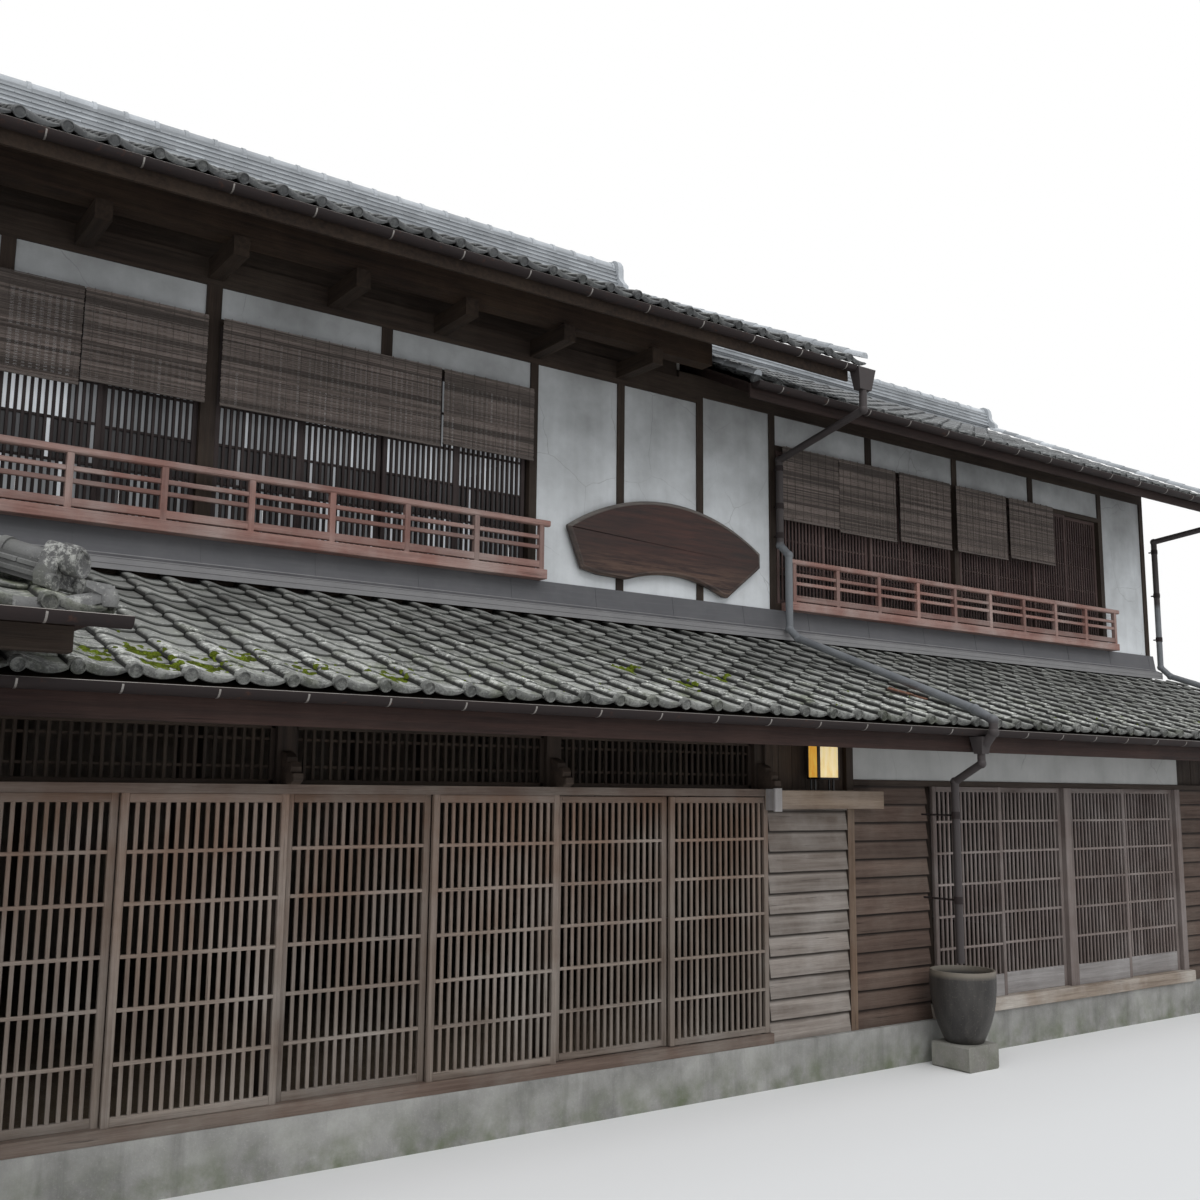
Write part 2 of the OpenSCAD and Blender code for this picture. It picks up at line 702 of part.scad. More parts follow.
// Hipped porch roof: it rests on the front beam and dies into the lower roof
module porch_roof() color("#6c7069") {
    soffit = porch_eave_z - porch_edge_h;
    peak = porch_eave_z + porch_slope * porch_half;
    y_of = function(z) (z - pent_eave_z) / pent_slope - pent_out - 1;
    y_cut = y_of(soffit);
    y_side = y_of(porch_eave_z);
    y_end = y_of(peak);
    w = porch_half;
    translate([porch_x, 0, 0]) polyhedron(
        [[-w, -porch_out, soffit], [w, -porch_out, soffit], [w, y_cut, soffit], [-w, y_cut, soffit],
            [-w, -porch_out, porch_eave_z], [w, -porch_out, porch_eave_z], [w, y_side, porch_eave_z],
            [-w, y_side, porch_eave_z], [0, w - porch_out, peak], [0, y_end, peak]],
        [[0, 1, 2, 3], [0, 4, 5, 1], [1, 5, 6, 2], [3, 7, 4, 0], [4, 8, 5], [5, 8, 9, 6], [4, 7, 9, 8],
            [2, 6, 9, 7, 3]]);
}

// Ridge and hip stacks of the porch, each with an end tile
module porch_ridges() color("#8b8f88") {
    peak = porch_eave_z + porch_slope * porch_half;
    y_end = (peak - pent_eave_z) / pent_slope - pent_out;
    hip = porch_half * sqrt(2);
    rise = atan(porch_slope / sqrt(2));
    translate([porch_x, porch_half - porch_out, peak]) {
        translate([0, y_end - porch_half + porch_out - 60, 0]) rotate([90, 0, 0])
            linear_extrude(y_end - porch_half + porch_out - 60) porch_stack();
        for (s = [-1, 1]) rotate([0, 0, -45 * s]) mirror([0, 1, 0]) rotate([-rise, 0, 0])
            translate([0, (hip - 220) / cos(rise), 0]) rotate([90, 0, 0])
                linear_extrude((hip - 220) / cos(rise)) porch_stack();
    }
}

module porch_stack() {
    polygon([[-95, 0], [-95, 40], [-80, 45], [-80, 85], [80, 85], [80, 45], [95, 40], [95, 0]]);
    translate([0, 90]) circle(r = 55);
}

function left_post_bays() = [-left_bays, -10, -9, -8, -2, -1];
function right_post_bays() = [0, 1, 4, 7, right_bays];
function window_starts() = [-8, -5, 1, 4];

module upper_post(x, w, top) {
    block([x - w / 2, y_upper, plaster_z], [x + w / 2, y_upper + upper_post_d, top]);
}

module upper_posts() color("#33271f") front_and_back() {
    for (k = left_post_bays()) upper_post(k * bay, upper_post_w, left_head_z);
    upper_post(-5 * bay, heavy_post_w, left_head_z);
    for (k = right_post_bays()) upper_post(k * bay, upper_post_w, right_head_z);
}

// Head beams over the upper walls; their tops follow the rafters
module wall_plate(x0, x1, z, eave) {
    y1 = y_upper + post_w;
    top = function(y) eave(y) - frame_drop;
    along_x(x0, x1) polygon([[y_upper, z], [y1, z], [y1, top(y1)], [y_upper + 40, top(y_upper + 40)],
        [y_upper + 40, z + 220], [y_upper, z + 220]]);
}

module wall_plates() color("#2b221c") front_and_back() {
    wall_plate(x_left - upper_post_w / 2, -gable_in, left_head_z, function(y) left_deck_at(y));
    along_x(-gable_in, x_right + upper_post_w / 2) {
        y1 = y_upper + post_w;
        polygon([[y_upper, right_head_z], [y1, right_head_z], [y1, right_deck_at(y1) - frame_drop],
            [y_upper, right_deck_at(y_upper) - frame_drop]]);
    }
    block([-gable_in, y_upper, left_head_z], [-upper_post_w / 2, y_upper + post_w, right_head_z]);
}

// Plaster panels between the upper posts, full height or over the windows
module plaster_panel(k0, k1, w0, w1, z0, z1) {
    y = y_upper + plaster_set;
    block([k0 * bay + w0 / 2, y, z0], [k1 * bay - w1 / 2, y + plaster_t, z1]);
}

module upper_plaster() color("whitesmoke") front_and_back() {
    w = upper_post_w;
    for (k = [-left_bays, -10, -9]) plaster_panel(k, k + 1, w, w, plaster_z, left_head_z);
    plaster_panel(-2, -1, w, w, plaster_z, left_head_z);
    plaster_panel(-1, 0, w, w, plaster_z, left_head_z);
    plaster_panel(0, 1, w, w, plaster_z, right_head_z);
    plaster_panel(7, right_bays, w, w, plaster_z, right_head_z);
    over = window_beam_z + window_beam_h;
    plaster_panel(-8, -5, w, heavy_post_w, over, left_head_z);
    plaster_panel(-5, -2, heavy_post_w, w, over, left_head_z);
    plaster_panel(1, 4, w, w, over, right_head_z);
    plaster_panel(4, 7, w, w, over, right_head_z);
}

// Width of the post at a window bay's edge
function edge_w(k) = k == -5 ? heavy_post_w : upper_post_w;

module window_beams() color("#33271f") front_and_back()
    for (k = window_starts()) {
        x0 = k * bay + edge_w(k) / 2;
        x1 = (k + 3) * bay - edge_w(k + 3) / 2;
        y1 = y_upper + upper_post_d;
        block([x0, y_upper, window_beam_z], [x1, y1, window_beam_z + window_beam_h]);
        block([x0, y_upper, plaster_z], [x1, y1, plaster_z + window_foot_h]);
    }

// Four barred sashes in one window bay
module sash_row(k, bars) {
    x0 = k * bay + edge_w(k) / 2;
    w = ((k + 3) * bay - edge_w(k + 3) / 2 - x0) / 4;
    z0 = plaster_z + window_foot_h;
    for (i = [0 : 3])
        translate([x0 + i * w, y_upper + 8 + (i % 2) * (sash_t + 8), z0])
            lattice(w, window_beam_z - z0, sash_t, bars, sash_bar_w, 2, 24, 34, sash_rail_h, sash_rail_h);
}

module front_sashes() color("#3d3029") for (k = window_starts()) sash_row(k, sash_bars);

module back_sashes() color("#3d3029") translate([0, 2 * y_ridge, 0]) mirror([0, 1, 0])
    for (k = window_starts()) sash_row(k, back_bars);

// One pane behind each window bay
module window_glass() color("lightgray") front_and_back()
    for (k = window_starts())
        block([k * bay + edge_w(k) / 2, y_upper + upper_post_d - 20, plaster_z + window_foot_h],
            [(k + 3) * bay - edge_w(k + 3) / 2, y_upper + upper_post_d - 20 + glass_t, window_beam_z]);

// One run of balcony railing between two module lines
module railing(k0, k1, start) {
    x0 = k0 * bay + start;
    x1 = k1 * bay + 40;
    y = y_upper - rail_out;
    z = plaster_z + 10;
    base_h = 85;
    cap = 60;
    post = 50;
    over = 30;
    n = round((k1 - k0) * 1.5);
    block([x0 - over, y - over, z], [x1 + over, y_upper, z + base_h]);
    for (r = [[98, 158, 44], [265, 300, 30], [355, 390, 30]])
        block([x0, y - r[2] / 2, z + r[0]], [x1, y + r[2] / 2, z + r[1]]);
    block([x0 - cap, y - cap / 2, z + railing_h - rail_cap_h], [x1 + cap, y + cap / 2, z + railing_h]);
    for (i = [0 : n])
        translate([x0 + post / 2 + i * (x1 - x0 - post) / n, y, z + base_h])
            block([-post / 2, -post / 2, 0], [post / 2, post / 2, railing_h - base_h]);
}

module railings() color("#8a4f42") {
    railing(-8, -2, -40);
    railing(1, 7, 140);
}

// Blinds: left and right end in modules, and how far they hang down
blinds = [[-7.95, -5.98, 749], [-5.97, -5.06, 705], [-4.94, -3.01, 705], [-2.98, -2.05, 675],
    [1.08, 1.925, 795], [1.935, 2.855, 823], [2.925, 3.82, 800], [3.93, 4.88, 795], [4.945, 5.845, 759]];

// Bamboo blind hung from the window head by two brackets
module blind(x0, x1, drop) {
    y = y_upper - blind_out;
    top = window_beam_z + window_beam_h - 10;
    block([x0, y - blind_t, top - drop], [x1, y, top]);
    for (x = [x0 + 60, x1 - 100]) block([x, y, top - 40], [x + 40, y_upper, top - 10]);
}

module bamboo_blinds() color("#857864") for (b = blinds) blind(b[0] * bay, b[1] * bay, b[2]);

// Fan-shaped board: an arched top and foot, slanted ends, battens behind on the posts
module fan_board() color("#5a4236") {
    y = y_upper - 20;
    r_top = (pow(fan_w / 2, 2) + pow(fan_rise, 2)) / (2 * fan_rise);
    w = fan_w / 2;
    translate([fan_x, y, fan_top_z]) rotate([90, 0, 0]) linear_extrude(fan_t) difference() {
        intersection() {
            translate([0, -r_top]) circle(r = r_top, $fn = 120);
            polygon([[-w, 10], [-w, -fan_rise - 20], [-w + 155, -fan_rise - 390], [-w + 330, -fan_rise - 425],
                [w - 440, -fan_rise - 494], [w, -fan_rise - 145], [w, 10]]);
        }
        translate([30, -fan_h - fan_r_foot]) circle(r = fan_r_foot, $fn = 120);
    }
    for (x = [-bay, 0])
        block([x - 30, y, fan_top_z - fan_h + 60], [x + 30, y_upper, fan_top_z - 140]);
}

// Bracket arms under the left eave, one on each module line
module bracket_arms() color("#3a2d24") front_and_back()
    for (k = [-left_bays : -1])
        block([k * bay - arm_w / 2, y_upper - arm_out, purlin_z - arm_h],
            [k * bay + arm_w / 2, y_upper, purlin_z]);

// Eave purlins on the arms; their tops follow the rafters
module eave_purlins() color("#4b3626") front_and_back()
    along_x(roof_left_x, -gable_in) {
        y0 = y_upper - arm_out + 60;
        y1 = y0 + purlin_w;
        polygon([[y0, purlin_z], [y1, purlin_z], [y1, left_deck_at(y1) - frame_drop],
            [y0, left_deck_at(y0) - frame_drop]]);
    }

// Boards, rafters and eave boards of a main roof
module roof_deck(x0, x1, ridge_z, run, board, board_x1) {
    n = round((x1 - x0) / (bay / 2));
    z0 = ridge_z - roof_drop - roof_slope * run;
    front_and_back() {
        slope_frame(x0, x1, y_ridge - run + eave_lap, z0 + eave_lap * roof_slope, y_ridge - ridge_gap / 2,
            roof_slope, n, (x1 - x0) / n);
        block([x0, y_ridge - run - fascia_out, z0 - board], [board_x1, y_ridge - run + eave_lap, z0]);
    }
}

module left_roof_deck() color("#33281f")
    roof_deck(roof_left_x, left_over - 60, left_ridge_z, left_eave_run, left_board_h, left_over - funnel_w);

module right_roof_deck() color("#55291f")
    roof_deck(-gable_in + gable_t, roof_right_x, right_ridge_z, right_eave_run, right_board_h, roof_right_x);

// Both slopes of a main roof's tiles
module roof_tiles(x0, x1, ridge_z, run)
    front_and_back()
        tile_slope(x0, x1, y_ridge - run, ridge_z - roof_drop - roof_slope * run, run - bed_w / 2 - bed_gap,
            roof_slope);

module left_roof_tiles() color("#5d615e") roof_tiles(roof_left_x, left_over, left_ridge_z, left_eave_run);

module right_roof_tiles() color("#5d615e")
    roof_tiles(-gable_in + gable_t, roof_right_x, right_ridge_z, right_eave_run);

module left_ridge() color("#9a9d9a") {
    top = left_ridge_z - 45 + left_courses * ridge_course;
    along_x(roof_left_x, left_over - ridge_end_t) ridge_profile(left_ridge_z, left_courses);
    ridge_end(left_over - ridge_end_t, left_ridge_z, top);
}

module right_ridge() color("#9a9d9a") {
    top = right_ridge_z - 45 + right_courses * ridge_course;
    along_x(left_over + 30, roof_right_x - ridge_end_t) ridge_profile(right_ridge_z, right_courses);
    ridge_end(roof_right_x - ridge_end_t, right_ridge_z, top);
}

module left_gutter() color("#2d2622")
    front_and_back() gutter(roof_left_x, left_over - funnel_w, left_gutter_y, left_gutter_z, 12);

module right_gutter() color("#3a2a22")
    front_and_back() gutter(-gable_in + gable_t + 10, roof_right_x, right_gutter_y, right_gutter_z, 12);

// Tapered square funnel with its top at z
module funnel(x, y, z, h, w, d, taper) {
    intersection() {
        along_x(x - w / 2, x + w / 2) translate([y, z])
            polygon([[-d / 2, 0], [d / 2, 0], [d * taper / 2, -h], [-d * taper / 2, -h]]);
        translate([x, y + d / 2, z]) rotate([90, 0, 0]) linear_extrude(d)
            polygon([[-w / 2, 0], [w / 2, 0], [w * taper / 2, -h], [-w * taper / 2, -h]]);
    }
}

// Height of a pipe's middle where it lies on the lower roof at depth y, with a clearance over the tiles
function pipe_on_roof(y, over = seat_gap) = pent_eave_z + pent_slope * (y + pent_out)
    + (collar * pipe_r + over) / cos(atan(pent_slope));

// Depth of a pipe that runs down the upper wall, and where the pipes leave the lower roof
pipe_wall_y = y_upper - pipe_r - 40;
pipe_eave_y = 80 - pent_out;

// Rain pipe between the blocks: funnel, wall pipe, run over the tiles, funnel, pipe to the jar
module downpipe_middle() color("#6a655e") {
    x = bay + 25;
    top_x = left_over - funnel_w / 2 + 15;
    funnel_h = 210;
    y_rail = y_upper - rail_out - 30 - pipe_r - pipe_gap;
    low_w = 140;
    low_x = jar_x - 83;
    low_z = pent_eave_z - 165;
    low_out = pent_gutter_y - gutter_r - pipe_r - 37;
    jar_in = pent_gutter_y + 280;
    pipe([[top_x, left_gutter_y, left_gutter_z - funnel_h + 20], [top_x, left_gutter_y, 5900],
        [x, pipe_wall_y, 5640], [x, pipe_wall_y, 4740], [x, y_rail, 4620],
        [x, y_rail, pipe_on_roof(y_rail) + 60],
        [x, y_rail - 120, pipe_on_roof(y_rail - 120)], [x - 50, pipe_eave_y, pipe_on_roof(pipe_eave_y)],
        [low_x, low_out, pipe_on_roof(pipe_eave_y) - 110], [low_x, low_out, low_z + 35],
        [low_x, pent_gutter_y - 50, low_z - 60]], pipe_r);
    funnel(top_x, left_gutter_y, left_gutter_z - 4, funnel_h, funnel_w, 124, 0.66);
    funnel(low_x, pent_gutter_y, low_z, low_w, low_w, 130, 0.62);
    pipe([[low_x, pent_gutter_y, low_z - low_w + 15], [low_x, pent_gutter_y, low_z - low_w - 80],
        [low_x, jar_in, low_z - low_w - 230], [low_x, jar_in, jar_z + jar_h + 60]], pipe_r - 5);
}

module downpipe_right() color("#3a302a") {
    x = x_right + 150;
    end_x = roof_right_x - 120;
    elbow_z = right_eave_z - roof_drop - right_board_h - collar * pipe_r - pipe_gap;
    over = seat_gap + 1;
    pipe([[end_x, right_gutter_y, right_gutter_z - gutter_r - 1], [end_x, right_gutter_y + 10, elbow_z],
        [x, pipe_wall_y, 5640], [x, pipe_wall_y, pipe_on_roof(pipe_wall_y, over) + 80],
        [x, pipe_wall_y - 130, pipe_on_roof(pipe_wall_y - 130, over)],
        [x + 160, pipe_eave_y, pipe_on_roof(pipe_eave_y, over)],
        [x + 170, pent_gutter_y + 5, pipe_on_roof(pipe_eave_y, over) - 90]], pipe_r);
}

// Stone base and open jar that take the rain water
module rain_jar() translate([jar_x, -330, 0]) {
    r = jar_d / 2;
    stone_w = 380;
    color("gray") translate([-stone_w / 2, -stone_w / 2, 0]) cube([stone_w, stone_w, jar_z]);
    color("#3f3a36") translate([0, 0, jar_z]) rotate_extrude($fn = 48)
        polygon([[0, 0], [r * 0.62, 0], [r * 0.82, jar_h * 0.45], [r * 0.96, jar_h * 0.9],
            [r, jar_h * 0.93], [r, jar_h],
            [r - 42, jar_h], [r * 0.72, jar_h * 0.45], [r * 0.5, 40], [0, 40]]);
}

// Back wall of the ground storey: boards between the posts, two windows left open
module back_wall() color("#7a6f66") {
    y0 = y_back - post_w + 20;
    y1 = y_back - 20;
    posts = concat([for (k = [-left_bays : 2 : -1]) k], [0, 1],
        [for (k = [3 : 2 : right_bays - 1]) k], [right_bays]);
    for (i = [0 : len(posts) - 2])
        block([posts[i] * bay + post_w / 2, y0, footing_h],
            [posts[i + 1] * bay - post_w / 2, y1, floor_beam_z]);
}

long_footings();
side_footings();
ground_floor();
upper_floor();
side_walls_lower();
side_walls_upper();
middle_gable();
ground_posts();
girders();
door_sill();
door_lintel();
transom_lattice();
lattice_door_left();
lattice_door_right();
fixed_lattice_outer();
fixed_lattice_inner();
clapboard_wall_left();
clapboard_wall_right();
lantern_shelf();
lantern();
plaster_band();
right_lattice_inner();
right_lattice_outer();
window_sill_beam();
pent_deck();
pent_fascia();
pent_tiles();
pent_gutter();
wall_flashing();
porch_frame();
porch_roof();
porch_ridges();
upper_posts();
upper_plaster();
wall_plates();
window_beams();
front_sashes();
back_sashes();
window_glass();
railings();
bamboo_blinds();
fan_board();
bracket_arms();
eave_purlins();
left_roof_deck();
left_roof_tiles();
left_ridge();
left_gutter();
right_roof_deck();
right_roof_tiles();
right_ridge();
right_gutter();
downpipe_middle();
downpipe_right();
rain_jar();
back_wall();
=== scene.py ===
import math
import random

import bmesh
import bpy
import numpy as np
from mathutils import Matrix, Vector


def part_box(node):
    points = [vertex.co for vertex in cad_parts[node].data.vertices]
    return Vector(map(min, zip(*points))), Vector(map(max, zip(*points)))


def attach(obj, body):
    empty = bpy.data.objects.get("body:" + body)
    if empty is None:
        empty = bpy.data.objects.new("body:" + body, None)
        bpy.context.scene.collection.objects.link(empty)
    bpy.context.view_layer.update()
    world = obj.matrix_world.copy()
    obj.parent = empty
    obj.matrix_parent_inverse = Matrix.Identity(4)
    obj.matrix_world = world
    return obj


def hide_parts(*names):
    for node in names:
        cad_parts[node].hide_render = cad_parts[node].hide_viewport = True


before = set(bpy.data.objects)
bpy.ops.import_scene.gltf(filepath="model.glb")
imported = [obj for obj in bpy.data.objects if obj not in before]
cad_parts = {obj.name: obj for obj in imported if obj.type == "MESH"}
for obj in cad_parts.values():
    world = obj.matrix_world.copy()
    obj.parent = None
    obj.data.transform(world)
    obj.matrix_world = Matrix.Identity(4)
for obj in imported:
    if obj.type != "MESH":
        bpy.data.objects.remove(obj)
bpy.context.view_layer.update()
rng = random.Random(7)


# Places and sizes read from the frame, in metres
def lo(node):
    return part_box(node)[0]


def hi(node):
    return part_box(node)[1]


BAY = hi("lattice_door_right").x - lo("lattice_door_right").x
PANEL_T = hi("lattice_door_right").y - lo("lattice_door_right").y
REAR_TRACK = lo("lattice_door_left").y
POST_Y = lo("window_sill_beam").y + 0.145
LEFT_X = lo("pent_fascia").x
RIGHT_X = hi("pent_fascia").x
FASCIA_OUT = 0.005
PENT_EAVE_Y = lo("pent_fascia").y + FASCIA_OUT
PENT_EAVE_Z = hi("pent_fascia").z
UPPER_Y = hi("pent_deck").y
PENT_SLOPE = (hi("pent_deck").z - PENT_EAVE_Z) / (UPPER_Y - PENT_EAVE_Y)
MAIN_SLOPE = 0.5
RIDGE_Y = (lo("left_roof_tiles").y + hi("left_roof_tiles").y) / 2
RIDGE_GAP = 0.153
TRANSOM_Z = hi("door_lintel").z
WINDOW_END = hi("plaster_band").x
WINDOW_HEAD = lo("plaster_band").z
GUTTER_R = 0.055
GUTTER_Y = lo("pent_fascia").y - 0.02 - GUTTER_R
WINDOW_START = BAY - 0.06
WINDOW_TOP = WINDOW_HEAD - 0.05
ROLL_TOP = 0.094


# Mesh building
class Shape:
    """Collects parts of one mesh, with a tone, a value of age and painted lap shade, and a grain direction
    for each point; on roof tiles the grain also carries dark joints with painted shade.
    """

    def __init__(self):
        self.points, self.faces, self.count = [], [], 0
        self.values = {"tone": [], "age": [], "grain": []}

    def add(self, points, faces, tone=0.0, grain=None, age=0.0):
        points = np.asarray(points, dtype=float)
        self.points.append(points)
        self.faces += [tuple(i + self.count for i in f) for f in faces]
        self.count += len(points)
        self.values["tone"].append(np.full(len(points), tone))
        self.values["age"].append(np.broadcast_to(np.asarray(age, dtype=float), (len(points),)))
        self.values["grain"].append(points if grain is None else np.asarray(grain, dtype=float))

    def make(self, name, look, slot, *replaced, body="house", smooth=None, cuts=()):
        mesh = bpy.data.meshes.new(name)
        mesh.from_pydata(np.concatenate(self.points).tolist(), [], self.faces)
        for key, values in self.values.items():
            kind, field = ("FLOAT_VECTOR", "vector") if key == "grain" else ("FLOAT", "value")
            layer = mesh.attributes.new(key, kind, "POINT")
            layer.data.foreach_set(field, np.concatenate(values).ravel())
        for point, normal in cuts:
            trim(mesh, point, normal)
        if smooth is not None:
            mesh.shade_smooth()
            mesh.set_sharp_from_angle(angle=math.radians(smooth))
        mesh.materials.append(M[look])
        piece = bpy.data.objects.new(name, mesh)
        bpy.context.scene.collection.objects.link(piece)
        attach(piece, body)
        if replaced:
            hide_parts(*replaced)


def turns(count):
    """Angles that part a full turn evenly."""
    return np.linspace(0, 2 * math.pi, count, endpoint=False)


def trim(mesh, point, normal):
    """Cuts away what lies beyond a plane."""
    work = bmesh.new()
    work.from_mesh(mesh)
    parts = work.verts[:] + work.edges[:] + work.faces[:]
    bmesh.ops.bisect_plane(work, geom=parts, plane_co=point, plane_no=normal, clear_outer=True)
    work.to_mesh(mesh)
    work.free()


AXES = {"x": (0, 1, 2), "y": (1, 0, 2), "z": (2, 0, 1)}
UP = Vector((0, 0, 1))


def ring_faces(rings, count, closed=True):
    """Faces between rings of points, each ring with the same number of points."""
    return [(r + a, r + b, r + b + count, r + a + count) for r in range(0, (rings - 1) * count, count)
            for a, b in ((i, (i + 1) % count) for i in range(count if closed else count - 1))]


def loft(shape, rings, tone=0.0, age=0.0, grain=None, flip=False):
    """A closed skin over rings of points."""
    rings = np.asarray(rings, dtype=float)
    count = rings.shape[1]
    last = count * (len(rings) - 1)
    faces = ring_faces(len(rings), count) + [tuple(range(count))[::-1], tuple(range(last, last + count))]
    if flip:
        faces = [f[::-1] for f in faces]
    shape.add(rings.reshape(-1, 3), faces, tone, grain, age)


def prism(shape, outline, axis, start, end, tone=0.0, age=0.0, wave=0.0, cuts=1):
    """An outline carried along one axis, with grain along it; wave bends it a little."""
    order = list(AXES[axis])
    rings = np.zeros((cuts + 1, len(outline), 3))
    for ring, stop in zip(rings, np.linspace(start, end, cuts + 1)):
        bend = rng.uniform(-wave, wave), rng.uniform(-wave, wave)
        ring[:, order[0]] = stop
        ring[:, order[1:]] = np.asarray(outline, dtype=float) + bend
    grain = rings.reshape(-1, 3)[:, order] + [rng.uniform(0, far) for far in (40, 9, 9)]
    loft(shape, rings, tone, age, grain, flip=axis == "y")


def beam(shape, outline, start, end, tone=0.0, age=0.0):
    """An outline (sideways, up) carried along a straight line in space."""
    start, end = Vector(start), Vector(end)
    ahead = (end - start).normalized()
    side = UP.cross(ahead).normalized()
    up = ahead.cross(side)
    loft(shape, [[stop + u * side + w * up for u, w in outline] for stop in (start, end)], tone, age)


def chamfered(a0, b0, a1, b1, c):
    """Outline of a bar with chamfered edges."""
    return [(a0 + c, b0), (a1 - c, b0), (a1, b0 + c), (a1, b1 - c),
            (a1 - c, b1), (a0 + c, b1), (a0, b1 - c), (a0, b0 + c)]


def bar(shape, low, high, chamfer=0.003, tone=None, age=0.0, wave=0.0, cuts=1):
    """A chamfered wooden bar between two corners, with its grain along its longest side."""
    size = [high[i] - low[i] for i in range(3)]
    axis = "xyz"[size.index(max(size))]
    long, second, third = AXES[axis]
    edge = min(chamfer, size[second] / 3, size[third] / 3)
    outline = chamfered(low[second], low[third], high[second], high[third], edge)
    tone = rng.uniform(-1, 1) if tone is None else tone
    prism(shape, outline, axis, low[long], high[long], tone, age, wave, cuts)


def revolve(shape, profile, centre, axis="z", segments=24, tone=0.0, age=0.0):
    """Turns a profile of (radius, height) points round an axis through centre."""
    long, second, third = AXES[axis]
    turn = turns(segments)
    rings = np.zeros((len(profile), segments, 3))
    for ring, (radius, height) in zip(rings, profile):
        ring[:, long] = height
        ring[:, second], ring[:, third] = radius * np.cos(turn), radius * np.sin(turn)
    loft(shape, rings + np.asarray(centre), tone, age, flip=axis == "y")


def arc(centre, radius, start, end, count):
    """Points on part of a circle, with the angles in degrees."""
    return [(centre[0] + radius * math.cos(t), centre[1] + radius * math.sin(t))
            for t in np.linspace(math.radians(start), math.radians(end), count)]


def stack(outline, steps, place):
    """Rings of one outline, each moved inwards by a width; place sets each point down at its step."""
    return [[place(step, a, b) for a, b in (inset(outline, width) if width else np.array(outline))]
            for step, width in steps]


def inset(outline, width):
    """A closed outline, given counter-clockwise, moved inwards by a width."""
    points = np.asarray(outline, dtype=float)
    edge = np.roll(points, -1, axis=0) - points
    normal = np.stack([-edge[:, 1], edge[:, 0]], axis=1) / np.linalg.norm(edge, axis=1)[:, None]
    both = normal + np.roll(normal, 1, axis=0)
    both /= np.maximum(0.5, (both ** 2).sum(axis=1))[:, None] / 2
    return points + width * both


# Material building
M = {}


def linear(shade):
    """One channel of a colour, 0 to 255 as it looks on the object, in linear light."""
    c = shade / 255
    return c / 12.92 if c <= 0.04045 else ((c + 0.055) / 1.055) ** 2.4


class Graph:
    """The nodes of a material or of the world. A colour of three numbers is written 0 to 255."""

    def __init__(self, owner):
        owner.use_nodes = True
        self.nodes, self.links = owner.node_tree.nodes, owner.node_tree.links

    def new(self, kind, settings=None, **inputs):
        node = self.nodes.new("ShaderNode" + kind)
        for key, value in (settings or {}).items():
            setattr(node, key, value)
        for key, value in inputs.items():
            self.put(node.inputs[key.replace("_", " ")], value)
        return node

    def put(self, socket, value):
        if isinstance(value, bpy.types.NodeSocket):
            self.links.new(value, socket)
        elif socket.type == "RGBA" and len(value) == 3:
            socket.default_value = (*map(linear, value), 1)
        else:
            socket.default_value = value

    def many(self, kind, settings, *values, out=0):
        """A node whose inputs are told by their order, None to leave one alone, and one of its outputs."""
        node = self.new(kind, settings)
        for socket, value in zip(node.inputs, values):
            if value is not None:
                self.put(socket, value)
        return node.outputs[out]

    def math(self, operation, a, b=0.5):
        return self.many("Math", {"operation": operation}, a, b)

    def mul(self, a, b):
        return self.math("MULTIPLY", a, b)

    def add(self, a, b):
        return self.math("ADD", a, b)

    def sub(self, a, b):
        return self.math("SUBTRACT", a, b)


class Tree(Graph):
    """A material's nodes, with the colour that its layers make so far."""

    def __init__(self, name):
        self.material = M[name] = bpy.data.materials.new(name)
        super().__init__(self.material)
        self.shader = self.nodes["Principled BSDF"]
        self.position = self.new("TexCoord").outputs["Object"]
        self.height = self.separate(self.position)[2]
        self.age, self.tone = self.attribute("age"), self.attribute("tone")
        self.grain = self.attribute("grain", "Vector")
        self.colour = None

    def attribute(self, name, output="Fac"):
        return self.new("Attribute", {"attribute_name": name}).outputs[output]

    def separate(self, vector):
        return self.new("SeparateXYZ", Vector=vector).outputs

    def combine(self, x, y, z):
        return self.new("CombineXYZ", X=x, Y=y, Z=z).outputs[0]

    def noise(self, scale, detail=4.0, rough=0.55, low=0.0, high=1.0, at=None):
        at = self.position if at is None else at
        if isinstance(scale, tuple):
            at, scale = self.new("Mapping", Vector=at, Scale=scale).outputs[0], 1.0
        value = self.new("TexNoise", Vector=at, Scale=scale, Detail=detail, Roughness=rough).outputs["Fac"]
        return self.span(value, low, high) if (low, high) != (0, 1) else value

    def span(self, value, low, high, out_low=0.0, out_high=1.0):
        return self.many("MapRange", None, value, low, high, out_low, out_high)

    def mix(self, factor, a, b, blend="MIX"):
        settings = {"data_type": "RGBA", "blend_type": blend}
        return self.many("Mix", settings, factor, None, None, None, None, None, a, b, out=2)

    def tint(self, colour, factor, amount=None):
        """Lays one more colour over the layers so far."""
        factor = factor if amount is None else self.mul(factor, amount)
        self.colour = self.mix(factor, self.colour, colour)

    def shade(self, low, high):
        """Each piece's own tone."""
        shade = self.span(self.tone, -1, 1, low, high)
        self.colour = self.mix(1.0, self.colour, self.combine(shade, shade, shade), "MULTIPLY")

    def bump(self, height, strength, distance):
        return self.new("Bump", Height=height, Strength=strength, Distance=distance).outputs["Normal"]

    def glow(self, strength):
        self.put(self.shader.inputs["Emission Color"], self.colour)
        self.put(self.shader.inputs["Emission Strength"], strength)

    def finish(self, roughness, normal=None, specular=0.35, metallic=0.0):
        values = {"Base Color": self.colour, "Roughness": roughness, "Normal": normal, "Metallic": metallic,
                  "Specular IOR Level": specular}
        for key, value in values.items():
            if value is not None:
                self.put(self.shader.inputs[key], value)


